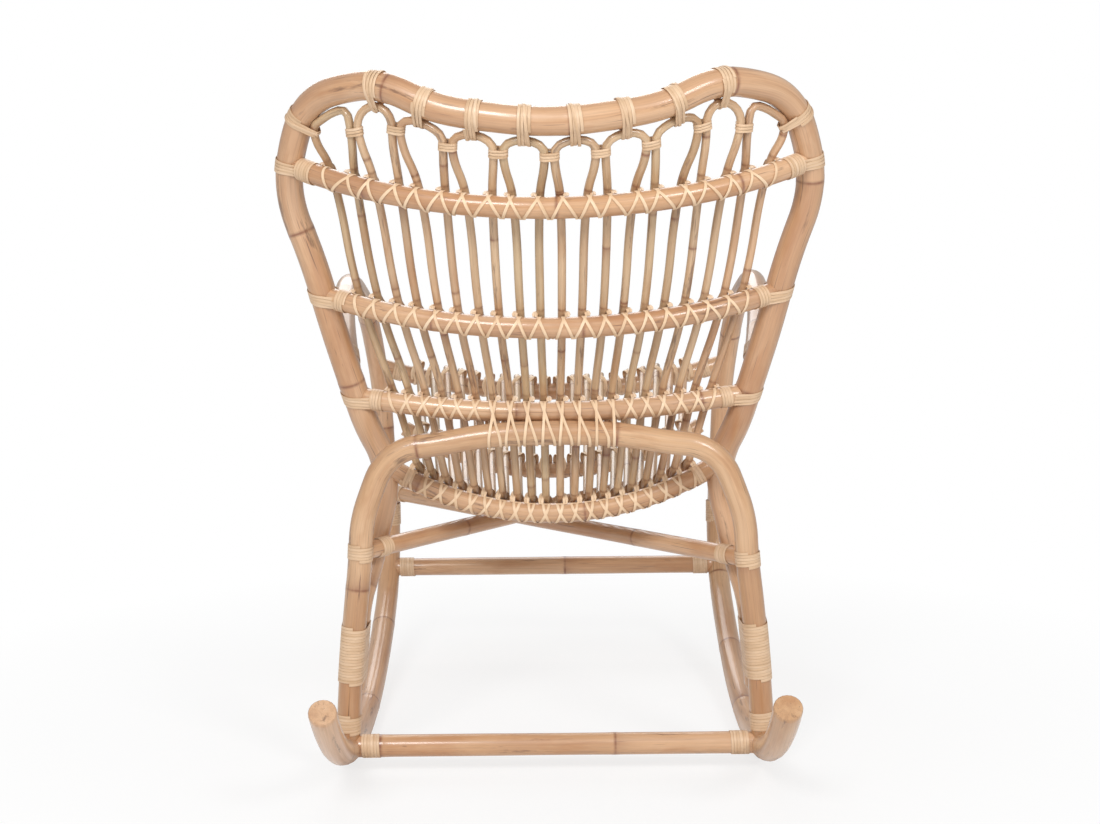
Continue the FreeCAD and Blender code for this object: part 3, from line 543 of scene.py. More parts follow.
# Bowed rails: thinner poles bent to one arc each. Four cross the back between the sides of the hoop, one
# crosses the seat under the slats, and one joins the two front legs.
SEAT_RAIL_RADIUS = 0.012
FRONT_RAIL_RADIUS = 0.0145
RAIL_KNUCKLES = 0.24
RAIL_SIDES = 16
SITTER = Vector((0, -0.126, 0.700))
FRONT_RAIL_END_Z = 0.500


def arc_through(left_end, middle):
    """A bowed rail: the arc from the right end through the middle to the left end."""
    right_end = across(left_end)
    runs = round_runs([right_end, middle, left_end])
    return joined([right_end, middle, left_end], runs, SITTER - right_end)


def back_rail(middle, end_height):
    return arc_through(hoop_bend.point(hoop_side_at(end_height)), Vector(middle))


front_rail_end = arms["left"].point(front_leg_at("left", FRONT_RAIL_END_Z))
rails = {
    "front": arc_through(front_rail_end, Vector((0, -0.481, 0.450))),
    "seat_middle": arc_through(Vector((0.234, -0.246, 0.420)), Vector((0, -0.246, 0.350))),
    "seat_rear": back_rail((0, 0.114, 0.348), 0.418),
    "lower": back_rail(LOWER_RAIL_MIDDLE, 0.515),
    "middle": back_rail((0, 0.254, 0.614), 0.655),
    "upper": back_rail((0, 0.334, 0.767), 0.825),
}
rail_radii = dict.fromkeys(rails, RAIL_RADIUS)
rail_radii.update(front=FRONT_RAIL_RADIUS, seat_middle=SEAT_RAIL_RADIUS)
for number, (rail, bend) in enumerate(rails.items()):
    inset = 0 if rail == "seat_middle" else COPED
    node = rail + ("_rail" if rail.startswith("seat") else "_back_rail")
    node = "seat_front_rail" if rail == "front" else node
    pole_piece(node + "_pole", node, bend, rail_radii[rail], 51 + number, RAIL_KNUCKLES, RAIL_SIDES,
               (inset, inset))

# Slat loops: ten canes. Each runs back over the seat, up the back and round under the hoop, then down
# again beside itself, so that its two legs are two slats of the shell.
CANE_RADIUS = 0.006
CANE_SKIN = 0.0054
CANE_KNUCKLES = 0.19
CANE_SIDES = 10
LOOPS = 10
LOOP_MIDDLE = (LOOPS - 1) / 2
OUTER_KNOT = LOOPS / 2 - 1
LOOP_PITCH = {"front": 0.049, "seat_middle": 0.045, "seat_rear": 0.041, "lower": 0.046, "middle": 0.0548,
              "upper": 0.0605, "top": 0.060}
LEG_GAP = {rail: pitch / 2 for rail, pitch in LOOP_PITCH.items()}
LEG_GAP.update(middle=0.0265, upper=0.034)
KNOT_DROP = 0.018
EAR_KNOT_DROP = 0.029
EAR_KNOT_SHIFT = 0.006
EAR_APEX_X = 0.264
EAR_TIE_X = 0.312
SLAT_OVERHANG = 0.016
KNEE_BELOW = 0.65
KNEE_ABOVE = 0.35
SHOULDER_PULL = 0.8
EAR_PULL = 1.5
REAR_TURN = list(rails).index("seat_rear")
HOOP_SEAT = HOOP_RADIUS + CANE_RADIUS + SEAT_GAP
KNOT_HALF = CANE_SKIN + SEAT_GAP / 2


def slat_x(rail, loop, leg):
    return (loop - LOOP_MIDDLE) * LOOP_PITCH[rail] + leg * LEG_GAP[rail] / 2


def slat_runs(points, rear_turns):
    """Smooth directions, halved between the two runs at the hard bend behind the seat."""
    runs = round_runs(points)
    for turn in rear_turns:
        before = (points[turn] - points[turn - 1]).normalized()
        after = (points[turn + 1] - points[turn]).normalized()
        runs[turn] = (before + after).normalized()
    return runs


def slat_crossings(loop, leg):
    """For each rail, where a slat's centre crosses it and the inward direction there."""
    lengths = [bend.find("x", slat_x(rail, loop, leg)) for rail, bend in rails.items()]
    on_axes = [bend.point(length) for bend, length in zip(rails.values(), lengths)]
    crossings = []
    for rail, length, point, run in zip(rails, lengths, on_axes, slat_runs(on_axes, [REAR_TURN])):
        inward = rails[rail].run(length).cross(run).normalized()
        if inward.dot(SITTER - point) < 0:
            inward = -inward
        crossings.append((point + inward * (rail_radii[rail] + CANE_RADIUS + SEAT_GAP), inward))
    return crossings


def under_hoop(x, below):
    """A place below the hoop's top, the hoop's direction there and the way down the shell."""
    at = hoop_top_at(x)
    along = hoop_bend.run(at)
    upper = rails["upper"].place("x", x * LOOP_PITCH["upper"] / LOOP_PITCH["top"])
    down = upper - hoop_bend.point(at)
    down = (down - along * down.dot(along)).normalized()
    return hoop_bend.point(at) + down * below, along, down


def loop_place(loop, ear_x):
    """The sideways place of a loop's top or tie; the outer loops lean into the ears."""
    offset = loop - LOOP_MIDDLE
    if abs(offset) > OUTER_KNOT:
        return math.copysign(ear_x, offset)
    return offset * LOOP_PITCH["top"]


def knot_drop(knot):
    return KNOT_DROP + (EAR_KNOT_DROP - KNOT_DROP) * (abs(knot) / OUTER_KNOT) ** 4


def knot_seat(knot):
    """Where two neighbouring loops are tied, the way from one to the other and the way down."""
    x = knot * LOOP_PITCH["top"] + EAR_KNOT_SHIFT * (knot / OUTER_KNOT) ** 5
    hoop_place, along, down = under_hoop(x, 0)
    plumb = rails["upper"].place("x", x) - hoop_place
    down = (down + plumb.normalized()).normalized()
    along = (along - down * along.dot(down)).normalized()
    return hoop_place + down * (HOOP_SEAT + knot_drop(knot)), along, down


def loop_shoulder(loop, leg):
    """The widest place of a loop, against its neighbour or against the ear, and the way up."""
    knot = loop - LOOPS / 2 + (leg + 1) / 2
    if abs(knot) < LOOPS / 2:
        point, along, down = knot_seat(knot)
        return point - along * (leg * KNOT_HALF), -down
    point, along, _ = under_hoop(leg * EAR_TIE_X, HOOP_SEAT)
    return point, along * -leg


def ear_bend(loop, leg):
    """Where an outer cane lies against the hoop between its top and its tie."""
    if abs(loop - LOOP_MIDDLE + leg / 2) < LOOPS / 2:
        return []
    return [under_hoop(leg * (EAR_APEX_X + EAR_TIE_X) / 2, HOOP_SEAT)[:2]]


def loop_bend(loop):
    legs = []
    for leg in (-1, 1):
        points = [point for point, _ in slat_crossings(loop, leg)]
        tip = points[0] + (points[0] - points[1]).normalized() * SLAT_OVERHANG
        legs.append([tip] + points)
    last, last_up = loop_shoulder(loop, 1)
    top = [loop_shoulder(loop, -1)] + ear_bend(loop, -1)
    top += [under_hoop(loop_place(loop, EAR_APEX_X), HOOP_SEAT)[:2]] + ear_bend(loop, 1) + [(last, -last_up)]
    points = legs[0] + [point for point, _ in top] + legs[1][::-1]
    runs = slat_runs(points, [REAR_TURN + 1, len(points) - 2 - REAR_TURN])
    runs[len(legs[0]):len(legs[0]) + len(top)] = [run for _, run in top]
    for leg in (-1, 1):
        knee = len(legs[0]) - 1 if leg < 0 else len(points) - len(legs[0])
        above = (points[knee - leg] - points[knee]).normalized() * -leg
        below = (points[knee] - points[knee + leg]).normalized() * -leg
        runs[knee] = (below * KNEE_BELOW + above * KNEE_ABOVE).normalized()
        pull = EAR_PULL if ear_bend(loop, leg) else SHOULDER_PULL
        runs[knee - leg] = (runs[knee - leg] + above * pull).normalized()
    return joined(points, runs, (1, 0, 0))


CANE_COLOURS = (0.750, 0.535, 0.345), (0.650, 0.420, 0.245), (0.440, 0.260, 0.140)
CANE_TINTS = (0.88, 0.93, 0.89), (1.0, 0.91, 0.86)
CANE_FINISH = varnished_rattan("pale_rattan_cane", CANE_COLOURS, CANE_TINTS, stain_share=0.06, gloss=0.34)
# Painted shade: each cane is darkened just above every rail it crosses, where the lacing strip passes over
# it.
SHADE_ABOVE_RAIL = 0.0025
for loop in range(LOOPS):
    bend = loop_bend(loop)
    rail_shade_marks = []
    for leg in (-1, 1):
        for rail, (point, _) in zip(rails, slat_crossings(loop, leg)):
            crossing = bend.lengths[np.argmin(np.linalg.norm(bend.points - np.array(point), axis=1))]
            rail_shade_marks.append(crossing - leg * (rail_radii[rail] + SHADE_ABOVE_RAIL))
    cane = rattan_stick("slat_cane_%02d" % (loop + 1), bend, CANE_SKIN, 61 + loop, CANE_KNUCKLES, CANE_SIDES,
                        shade_marks=rail_shade_marks)
    fit_piece(cane, "rattan_cane", [CANE_FINISH, CUT_END], "slat_loop_%02d" % (loop + 1))

# Stretchers and cross braces: straight poles between the rockers, and from each rear leg to the front leg
# of the other side. They are notched round what they meet.
STRETCHER_RADIUS = 0.015
BRACE_RADIUS = 0.0125
STRETCHER_ABOVE_ROCKER = 0.004
FRONT_STRETCHER_Z = 0.151
FRONT_SWEEP_FROM = 0.7
STRETCHER_KNUCKLES = 0.31
STRETCHER_SIDES = 18
BRACE_KNUCKLES = 0.29
STRAIGHT_STEPS = 40
BRACES = {
    "upper": {"rear": "left", "front": "right", "rear_z": 0.310, "front_z": 0.316},
    "lower": {"rear": "right", "front": "left", "rear_z": 0.296, "front_z": 0.278},
}


def straight(start, end, crosswise):
    shares = [number / STRAIGHT_STEPS for number in range(STRAIGHT_STEPS + 1)]
    return Bend([start + (end - start) * share for share in shares], crosswise)


rear_seat = leg_foot + Vector((0, 0, STRETCHER_ABOVE_ROCKER))
front_sweep = rockers["left"].length * FRONT_SWEEP_FROM
front_seat = rockers["left"].place("z", FRONT_STRETCHER_Z, front_sweep)
stretchers = {
    "rear": straight(across(rear_seat), rear_seat, (0, 1, 0)),
    "front": straight(across(front_seat), front_seat, (0, 1, 0)),
}
for number, (name, bend) in enumerate(stretchers.items()):
    pole_piece(name + "_stretcher_pole", name + "_stretcher", bend, STRETCHER_RADIUS, 81 + number,
               STRETCHER_KNUCKLES, STRETCHER_SIDES, (COPED, COPED))

braces = {}
for number, (name, brace) in enumerate(BRACES.items()):
    rear = on_side(leg_bend.point(leg_at(brace["rear_z"])), brace["rear"])
    front = arms[brace["front"]].point(front_leg_at(brace["front"], brace["front_z"]))
    braces[name] = straight(rear, front, (0, 0, 1))
    pole_piece("cross_brace_pole_" + name, "cross_brace_" + name, braces[name], BRACE_RADIUS, 91 + number,
               BRACE_KNUCKLES, RAIL_SIDES, (COPED, COPED))

# Dowels: the plain pegs inside the rear feet and the front splices, which nothing shows from outside.
# They keep their solid and get a pale turned-wood finish.
peg_finish = cut_end_wood("turned_peg_wood")
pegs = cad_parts["joint_dowels"]
pegs.data.materials.clear()
pegs.data.materials.append(peg_finish)

# Bindings: damp split cane wound tight round every joint, in even turns that lie flat on the pole. Dry, it
# is paler than the poles and has a satin skin.
STRIP_WIDTH = 0.0041
STRIP_THICK = 0.0009
TURN_PITCH = 0.0041
TURN_POINTS = 28
SKIN_ROOM = 1.02
# Brown mixed in towards the edges of each strip.
STRIP_EDGE_BROWN = (0.36, 0.20, 0.095)


def split_cane(name, pale, cream, shade):
    """Split cane: a pale skin with fine lengthwise fibres, a little darker towards its edges."""
    finish, tree, shader = new_finish(name)
    place = on_stick(tree, "stick", "Vector")
    broad = grain(tree, place, (14, 120, 120), 3)
    fibres = grain(tree, place, (25, 2200, 2200), 3, 0.6)
    base = colour_steps(tree, broad, [(0.3, shade), (0.5, cream), (0.68, pale)])
    base = mixed(tree, ranged(tree, fibres, 0.42, 0.72, 0.0, 0.35), base, shade)
    # The strip is darkened towards its edges.
    base = mixed(tree, ranged(tree, on_stick(tree, "edge"), 0.75, 1.0, 0.0, 0.35), base, STRIP_EDGE_BROWN)
    feed(shader, {
        "Base Color": base, "Roughness": ranged(tree, broad, 0.2, 0.8, 0.55, 0.38),
        "Coat Weight": 0.12, "Coat Roughness": 0.3, "Normal": relief(tree, fibres, 0.3, 0.0004),
    })
    return finish


STRIP_COLOURS = (0.790, 0.585, 0.405), (0.710, 0.495, 0.315), (0.570, 0.370, 0.215)
STRIP_FINISH = split_cane("split_cane_strip", *STRIP_COLOURS)
STRIP_SECTION = [(-1.0, -0.3), (-0.92, 0.6), (-0.5, 1.0), (0.5, 1.0), (0.92, 0.6), (1.0, -0.3), (0.7, -1.0),
                 (-0.7, -1.0)]


def laid_strip(centres, outward, seed, width=STRIP_WIDTH, thick=STRIP_THICK):
    """A strip of split cane along a line of centres, flat side to the surface under it."""
    chance = random.Random(seed)
    along, runs = lengths_and_runs(centres)
    rise = outward - runs * np.sum(outward * runs, axis=1)[:, None]
    rise = rise / np.linalg.norm(rise, axis=1)[:, None]
    beside = np.cross(rise, runs)
    section = np.array(STRIP_SECTION)
    wander = 1 + 0.05 * np.sin(along * 90 + chance.uniform(0, 6))
    offsets = section[None, :, 0] * wander[:, None] * width / 2
    heights = np.repeat(section[None, :, 1] * thick / 2, len(along), axis=0)
    rings = centres[:, None] + beside[:, None] * offsets[..., None] + rise[:, None] * heights[..., None]
    shift = chance.uniform(0, 40)
    lengthwise = np.repeat(along[:, None] + shift, len(section), axis=1)
    straight = np.stack([lengthwise, offsets, heights], axis=-1)
    return rolled_mesh("cane_strip", rings, straight, {"edge": np.abs(offsets) / (width / 2)})


def wound_line(bend, at, turns, reach_at, pitch=TURN_PITCH, start_turn=0.0):
    """Centres and outward directions of a strip wound round a pole, about a length along it."""
    count = int(turns * TURN_POINTS) + 1
    turn = start_turn + np.linspace(0, 2 * math.pi * turns, count)
    along = at + np.linspace(-0.5, 0.5, count) * turns * pitch
    return bend.around(along, turn, reach_at(turn))


def joined_piece(name, strips, node, finish=STRIP_FINISH):
    """Strips made one piece, which stands for a node of bindings or lacing."""
    bpy.ops.object.select_all(action="DESELECT")
    for strip in strips:
        strip.select_set(True)
    bpy.context.view_layer.objects.active = strips[0]
    if len(strips) > 1:
        bpy.ops.object.join()
    piece = bpy.context.object
    piece.name = name
    piece.select_set(False)
    fit_piece(piece, "cane_strip", [finish, finish], node)


def bindings(place, strips):
    joined_piece(place + "_strips", strips, place + "_bindings")


def wrapped(bend, at, radius, turns, seed):
    """Even turns round one pole."""
    reach = radius * SKIN_ROOM + STRIP_THICK / 2
    centres, outward = wound_line(bend, at, turns, lambda turn: np.full_like(turn, reach), start_turn=seed)
    return laid_strip(centres, outward, seed)


def round_two(first_radius, span, second_radius, direction):
    """How far a tight strip stands from the first of two poles, by the turn about it."""
    samples = np.linspace(0, 2 * math.pi, 721)
    reach = np.zeros_like(samples)
    for share in np.linspace(0, 1, 25):
        radius = first_radius + (second_radius - first_radius) * share
        offset = span * share
        sine = offset * np.sin(samples)
        root = np.sqrt(np.maximum(radius ** 2 - sine ** 2, 0))
        reach = np.maximum(reach, np.where(np.abs(sine) <= radius, offset * np.cos(samples) + root, 0))
    return lambda turn: np.interp((turn - direction) % (2 * math.pi), samples, reach) + STRIP_THICK / 2


# Hoop bindings hold the top of each loop up against the hoop.
HOOP_TURNS = 3.6
SLANT_PITCH = 0.015
CANE_ROOM = 0.001
hoop_strips = []
for loop in range(LOOPS):
    tie_x = loop_place(loop, EAR_TIE_X)
    at = hoop_top_at(tie_x)
    _, _, down = under_hoop(tie_x, HOOP_SEAT)
    direction = hoop_bend.angle(at, down)
    reach_at = round_two(HOOP_RADIUS * SKIN_ROOM, HOOP_SEAT + CANE_ROOM, CANE_RADIUS, direction)
    line = wound_line(hoop_bend, at, HOOP_TURNS, reach_at)
    hoop_strips.append(laid_strip(*line, 101 + loop))
    centres, outward = wound_line(hoop_bend, at, 1, reach_at, SLANT_PITCH, loop)
    slant = centres + outward * STRIP_THICK, outward
    hoop_strips.append(laid_strip(*slant, 111 + loop))
bindings("hoop_top", hoop_strips)

# Knot bindings tie neighbouring loops side by side.
KNOT_TURNS = 3
KNOT_PITCH = 0.0036
KNOT_STRIP = {"width": 0.0034, "thick": 0.0012}
KNOT_AXIS_HALF = 0.03
KNOT_ROOM = 1.06
knot_strips = []
for knot in range(1, LOOPS):
    offset = knot - LOOPS / 2
    middle, along, down = knot_seat(offset)
    cane_middle = middle - along * KNOT_HALF
    axis = straight(cane_middle - down * KNOT_AXIS_HALF, cane_middle + down * KNOT_AXIS_HALF, along)
    reach_at = round_two(CANE_SKIN * KNOT_ROOM, 2 * KNOT_HALF, CANE_SKIN * KNOT_ROOM, 0)
    line = wound_line(axis, KNOT_AXIS_HALF, KNOT_TURNS, reach_at, KNOT_PITCH)
    knot_strips.append(laid_strip(*line, 121 + knot, **KNOT_STRIP))
bindings("loop_knot", knot_strips)


def wrap_half(turns):
    return turns * TURN_PITCH / 2 + STRIP_WIDTH / 2


# Rail bindings hold the rail ends to the hoop. A collar of strips runs from the rail round the back of the
# hoop, and turns round the rail hold its ends down.
RAIL_END_TURNS = {"seat_rear": 3, "lower": 4, "middle": 4, "upper": 6}
COLLAR_REACH = -0.005
COLLAR_STEPS = (-0.0063, -0.0021, 0.0021, 0.0063)
COLLAR_POINTS = 49
NOTCH_SHARE = 0.94
rail_strips = []
for rail, turns in RAIL_END_TURNS.items():
    rail_end = hoop_side_at(rails[rail].points[-1][2])
    inward = -rails[rail].run(rails[rail].length)
    lean = inward.dot(hoop_bend.run(rail_end))
    clear = (HOOP_RADIUS + RAIL_RADIUS * abs(lean)) / math.sqrt(1 - lean ** 2)
    inset = clear * NOTCH_SHARE + wrap_half(turns)
    for at in (inset, rails[rail].length - inset):
        seed = 141 + len(rail_strips)
        rail_strips.append(wrapped(rails[rail], at, RAIL_RADIUS, turns, seed))
    for hand in () if rail == "seat_rear" else (1, -1):
        at = rail_end if hand > 0 else hoop_bend.length - rail_end
        direction = hoop_bend.angle(at, inward if hand > 0 else across(inward))
        turn = direction + np.linspace(0, 2 * math.pi, COLLAR_POINTS)
        for step in COLLAR_STEPS:
            narrow = math.sqrt(RAIL_RADIUS ** 2 - step ** 2)
            reach = round_two(HOOP_RADIUS * SKIN_ROOM, clear + COLLAR_REACH, narrow, direction)(turn)
            slope = hand * lean / math.sqrt(1 - lean ** 2)
            along = at + step + reach * np.cos(turn - direction) * slope
            line = hoop_bend.around(along, turn, reach)
            rail_strips.append(laid_strip(*line, 301 + len(rail_strips)))
bindings("rail_end", rail_strips)

# Arm bindings: at the rear end of each arm, at the front rail's ends and on the splice to the rocker.
SLANT_ROOM = 1.25 ** 2
ARM_TURNS = 6
FRONT_RAIL_TURNS = 4
SPLICE_TURNS = 9
SPLICE_HALF = 0.04
arm_strips = []
front_strips = []
splice_strips = []
for side, hand in SIDES.items():
    arm_at = arms[side].length - HOOP_RADIUS * SLANT_ROOM - wrap_half(ARM_TURNS)
    arm_strips.append(wrapped(arms[side], arm_at, ARM_RADIUS, ARM_TURNS, 161 + hand))
    inset = ARM_RADIUS * SLANT_ROOM + wrap_half(FRONT_RAIL_TURNS)
    rail_at = inset if side == "right" else rails["front"].length - inset
    front_wrap = rails["front"], rail_at, FRONT_RAIL_RADIUS, FRONT_RAIL_TURNS
    front_strips.append(wrapped(*front_wrap, 165 + hand))
    top = rockers[side].point(rockers[side].length)
    rise = Vector((0, 0, SPLICE_HALF))
    axis = straight(top - rise, top + rise, (1, 0, 0))
    splice_strips.append(wrapped(axis, SPLICE_HALF, ROCKER_RADIUS, SPLICE_TURNS, 169 + hand))
bindings("arm_end", arm_strips)
bindings("front_rail", front_strips)
bindings("splice", splice_strips)

# Leg bindings: a short one at each foot, and the long lashing of leg and hoop end side by side.
LASH_LOW_Z = 0.127
LASH_ROOM = 1.03
FOOT_TURNS = 6
FOOT_GAP = 0.004
foot_strips = []
lash_strips = []
foot_height = rear_seat.z + STRETCHER_RADIUS + FOOT_GAP + wrap_half(FOOT_TURNS)
for hand in SIDES.values():
    foot_at = leg_at(foot_height, hand)
    lash_at = leg_at((LASH_TOP_Z + LASH_LOW_Z) / 2, hand)
    foot_strips.append(wrapped(leg_bend, foot_at, LEG_RADIUS, FOOT_TURNS, 181 + hand))
    direction = leg_bend.angle(lash_at, lash_step)
    reach_at = round_two(LEG_RADIUS * LASH_ROOM, -lash_step.y, HOOP_RADIUS * LASH_ROOM, direction)
    lash_turns = int((LASH_TOP_Z - LASH_LOW_Z) / TURN_PITCH)
    line = wound_line(leg_bend, lash_at, lash_turns, reach_at)
    lash_strips.append(laid_strip(*line, 185 + hand))
bindings("foot", foot_strips)
bindings("long_leg", lash_strips)

# Stretcher and brace bindings wrap the notched ends.
STRETCHER_TURNS = 6
BRACE_TURNS = 5
LEG_WRAP_ROOM = 0.0034
for name, bend in stretchers.items():
    inset = ROCKER_RADIUS + wrap_half(STRETCHER_TURNS)
    strips = []
    for at in (inset, bend.length - inset):
        strips.append(wrapped(bend, at, STRETCHER_RADIUS, STRETCHER_TURNS, 191))
    bindings(name + "_stretcher", strips)
brace_strips = []
for name, brace in BRACES.items():
    at = leg_at(brace["rear_z"], SIDES[brace["rear"]])
    brace_strips.append(wrapped(leg_bend, at, LEG_RADIUS, BRACE_TURNS, 201))
    rear_inset = LEG_RADIUS * SLANT_ROOM + LEG_WRAP_ROOM + wrap_half(BRACE_TURNS)
    front_inset = ARM_RADIUS * SLANT_ROOM + wrap_half(BRACE_TURNS)
    for at in (rear_inset, braces[name].length - front_inset):
        brace_strips.append(wrapped(braces[name], at, BRACE_RADIUS, BRACE_TURNS, 203))
bindings("brace", brace_strips)

# Lacing: one narrow strip for each half of a rail. It goes twice over every slat in front, with a steep turn
# behind the rail between the two, and a wide slant behind it to the next slat. In the middle of the lower
# rail the strip also goes round the top of the leg hoop.
LACING_WIDTH = 0.0040
LACING_THICK = 0.0008
LACING_COLOURS = (0.880, 0.680, 0.480), (0.820, 0.600, 0.395), (0.690, 0.465, 0.280)
LACING_FINISH = split_cane("pale_lacing_strip", *LACING_COLOURS)
LACING_SLANTS = {
    **dict.fromkeys(("front", "seat_middle"), (-0.18, 0.10, -0.18, 0.10)),
    "seat_rear": (-0.42, 0.25, -0.45, -0.28), "lower": (-0.42, 0.32, -0.42, -0.20),
    "middle": (-0.34, 0.20, -0.36, -0.02), "upper": (-0.34, 0.20, -0.36, 0.0),
}
HOOP_SLANTS = (-0.30, 0.19, -0.14, -0.26)
BACK_RAILS = ["seat_rear", "lower", "middle", "upper"]
HOOP_TIE_HALF = 0.098
LEG_TOP_FROM = 0.35
LEG_TOP_TO = 0.65
QUARTER = math.pi / 2
SLAT_TURNS = (0.57, 0.33, 0.16)
TIE_HALF = 0.0017
TILT_LIMIT = 0.38
KEY_SAMPLES = 2


def tied_reach(rail, length):
    """How far a tight strip stands from a rail, by the turn about it."""
    place = rails[rail].point(length)
    if rail != "lower" or abs(place.x) > HOOP_TIE_HALF:
        return lambda turn: rail_radii[rail] * SKIN_ROOM + LACING_THICK / 2
    top_stretch = leg_bend.length * LEG_TOP_FROM, leg_bend.length * LEG_TOP_TO
    offset = leg_bend.place("x", place.x, *top_stretch) - place
    direction = rails[rail].angle(length, offset)
    return round_two(RAIL_RADIUS * LASH_ROOM, offset.length, LEG_RADIUS * KNOT_ROOM, direction)


def over_slat(rail, length, front, tilt, entry, exit_step, reach_at):
    """Keys (length, turn, reach) from under a rail, past a slat's side, over its front and down behind.

    Tilt is how far, in quarters of a turn, the rail's lower and upper edge lie from square to the slat.
    """
    side = CANE_RADIUS + LACING_THICK
    beside = rail_radii[rail] + CANE_RADIUS
    over = beside + CANE_RADIUS + SEAT_GAP + LACING_THICK * 0.6
    low, near, high = SLAT_TURNS
    rows = [(entry, 1.0 - tilt, 0), (-side, low, 0), (-side, near, beside / math.cos(near * QUARTER)),
            (-0.7 * CANE_RADIUS, high, over / math.cos(high * QUARTER)), (0, 0, over)]
    rows += [(-step, -share, reach) for step, share, reach in rows[-2::-1]]
    rows[-1] = (exit_step, -1.0 - tilt, 0)
    keys = []
    for step, share, reach in rows:
        turn = front + share * QUARTER
        keys.append((length + step, turn, max(float(reach_at(turn)), reach)))
    return keys


def behind_rail(start, end, reach_at):
    """Keys between two keys behind a rail, for a stroke that is straight seen from behind."""
    keys = []
    for turn in np.linspace(start[1], end[1], 16)[1:-1]:
        reach = float(reach_at(turn))
        share = (start[2] - reach * math.cos(turn - start[1])) / (start[2] + end[2])
        keys.append((start[0] + (end[0] - start[0]) * min(max(share, 0), 1), turn, reach))
    return keys


def slat_ties(rail, stations, chance):
    """Keys of one strip that ties a row of slats.

    Each slat has its length along the rail, its front turn, its tilt and the strip's pull along the rail.
    """
    keys = []
    turned = 0.0
    pitch = (stations[-1][0] - stations[0][0]) / (len(stations) - 1)
    for length, front, tilt, pull in stations:
        reach_at = tied_reach(rail, length)
        round_hoop = rail == "lower" and abs(rails[rail].point(length).x) < HOOP_TIE_HALF
        slants = HOOP_SLANTS if round_hoop else LACING_SLANTS[rail]
        shifts = [pitch * (slant + chance.uniform(-0.05, 0.05)) + pull for slant in slants]
        first = over_slat(rail, length - TIE_HALF, front - turned, tilt, shifts[0], shifts[1], reach_at)
        turned += 4 * QUARTER
        second = over_slat(rail, length + TIE_HALF, front - turned, tilt, shifts[2], shifts[3], reach_at)
        if keys:
            keys += behind_rail(keys[-1], first[0], reach_at)
        keys += first + behind_rail(first[-1], second[0], reach_at) + second
        turned += 4 * QUARTER
    return keys


def laced_line(rail, keys):
    """A smooth line through the keys, and the outward direction along it."""
    rows = [rails[rail].around(*key) for key in keys]
    points = np.array([point for point, _ in rows])
    outward = np.array([facing for _, facing in rows])
    slopes = (np.vstack([points[1:], points[-1:]]) - np.vstack([points[:1], points[:-1]])) / 2
    line = []
    facing = []
    for share in np.arange(KEY_SAMPLES) / KEY_SAMPLES:
        square, cube = share ** 2, share ** 3
        line.append((2 * cube - 3 * square + 1) * points[:-1] + (cube - 2 * square + share) * slopes[:-1]
                    + (3 * square - 2 * cube) * points[1:] + (cube - square) * slopes[1:])
        facing.append(outward[:-1] * (1 - share) + outward[1:] * share)
    line = np.stack(line, axis=1).reshape(-1, 3)
    facing = np.stack(facing, axis=1).reshape(-1, 3)
    return np.vstack([line, points[-1:]]), np.vstack([facing, outward[-1:]])


for number, (rail, bend) in enumerate(rails.items()):
    stations = []
    for loop in range(LOOPS):
        for leg in (-1, 1):
            length = bend.find("x", slat_x(rail, loop, leg))
            inward = slat_crossings(loop, leg)[list(rails).index(rail)][1]
            front = bend.angle(length, inward)
            tilt = pull = 0
            if rail in BACK_RAILS:
                upright = bend.angle(length, Vector((0, 0, 1)))
                tilt = math.remainder(front - QUARTER - upright, 4 * QUARTER) / QUARTER
                tilt = min(max(tilt, -TILT_LIMIT), TILT_LIMIT)
            if rail in BACK_RAILS[1:]:
                pull = -(rail_radii[rail] + CANE_RADIUS) * bend.run(length).y / inward.y
            stations.append((slat_x(rail, loop, leg), length, front, tilt, pull))
    middle = HOOP_TIE_HALF if rail == "lower" else 0
    strips = []
    for hand in (1, -1):
        chance = random.Random(211 + 2 * number + hand)
        row = [station for x, *station in stations if x > hand * middle]
        line, facing = laced_line(rail, slat_ties(rail, row, chance))
        if hand < 0:
            line = line * (-1, 1, 1)
            facing = facing * (-1, 1, 1)
        seed = 241 + 2 * number + hand
        strips.append(laid_strip(line, facing, seed, LACING_WIDTH, LACING_THICK))
    node = rail + ("_lacing" if rail.startswith("seat") else "_rail_lacing")
    joined_piece(rail + "_rail_strips", strips, node, LACING_FINISH)

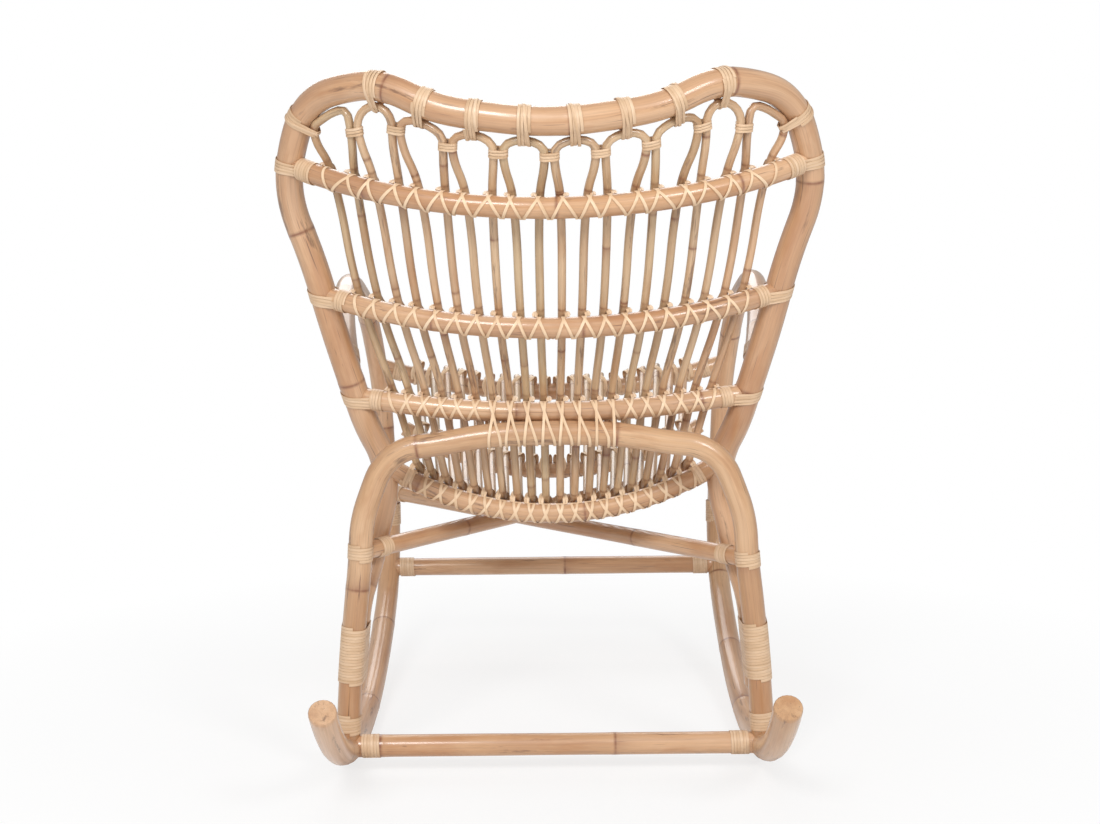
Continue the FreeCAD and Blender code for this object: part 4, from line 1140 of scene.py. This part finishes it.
# Floor, studio light and camera: a pale floor, and the photograph's view from behind, a little above.
bpy.ops.mesh.primitive_plane_add(size=14, location=(0, 0, 0))
floor = bpy.context.object
floor.name = "studio_floor"
floor_finish, floor_tree, matte = new_finish("pale_floor")
feed(matte, {"Base Color": (0.9, 0.9, 0.9, 1), "Roughness": 0.9, "Specular IOR Level": 0.1})
white = shader_node(floor_tree, "ShaderNodeEmission", {"Color": (1, 1, 1, 1), "Strength": 1.0})
floor_place = shader_node(floor_tree, "ShaderNodeTexCoord").outputs["Object"]
distance = shader_node(floor_tree, "ShaderNodeVectorMath", {0: floor_place}, operation="LENGTH")
far = ranged(floor_tree, distance.outputs["Value"], 0.5, 1.2, 0.75, 1.0)
faded = shader_node(floor_tree, "ShaderNodeMixShader", {0: far, 1: matte.outputs[0], 2: white.outputs[0]})
floor_rays = shader_node(floor_tree, "ShaderNodeLightPath").outputs["Is Camera Ray"]
floor_mix = {0: floor_rays, 1: matte.outputs[0], 2: faded.outputs[0]}
seen_floor = shader_node(floor_tree, "ShaderNodeMixShader", floor_mix)
feed(floor_tree.nodes["Material Output"], {"Surface": seen_floor.outputs[0]})
floor.data.materials.append(floor_finish)

ROOM_LIGHT = 0.46
world = bpy.data.worlds.new("studio_world")
bpy.context.scene.world = world
world.use_nodes = True
sky_rays = shader_node(world.node_tree, "ShaderNodeLightPath").outputs["Is Camera Ray"]
seen_sky = shader_node(world.node_tree, "ShaderNodeMix", {0: sky_rays, 2: ROOM_LIGHT, 3: 1.0})
feed(world.node_tree.nodes["Background"], {"Color": (1, 1, 1, 1), "Strength": seen_sky.outputs[0]})
CHAIR_MIDDLE = Vector((0, 0, 0.5))


def soft_box(name, place, width, power):
    """A square lamp that shines on the chair."""
    light = bpy.data.lights.new(name, "AREA")
    light.shape = "SQUARE"
    light.size = width
    light.energy = power
    lamp = bpy.data.objects.new(name, light)
    lamp.location = place
    lamp.rotation_euler = (CHAIR_MIDDLE - Vector(place)).to_track_quat("-Z", "Y").to_euler()
    bpy.context.scene.collection.objects.link(lamp)


soft_box("key_light", (0.9, 2.9, 2.5), 1.0, 60)
soft_box("fill_light", (-1.7, 2.4, 2.2), 0.8, 32)
soft_box("front_light", (0.4, -2.6, 2.4), 2.0, 33)

CAMERA_DOWN = math.radians(7.1)
CAMERA_ROLL = math.radians(0.6)
camera_data = bpy.data.cameras.new("photo_camera")
camera_data.sensor_width = 36
camera_data.lens = 55.6
camera = bpy.data.objects.new("photo_camera", camera_data)
camera.location = (0.0, 2.424, 0.776)
camera.rotation_mode = "XYZ"
camera.rotation_euler = (math.pi / 2 - CAMERA_DOWN, CAMERA_ROLL, math.pi)
bpy.context.scene.collection.objects.link(camera)
bpy.context.scene.camera = camera
bpy.context.scene.view_settings.view_transform = "Standard"
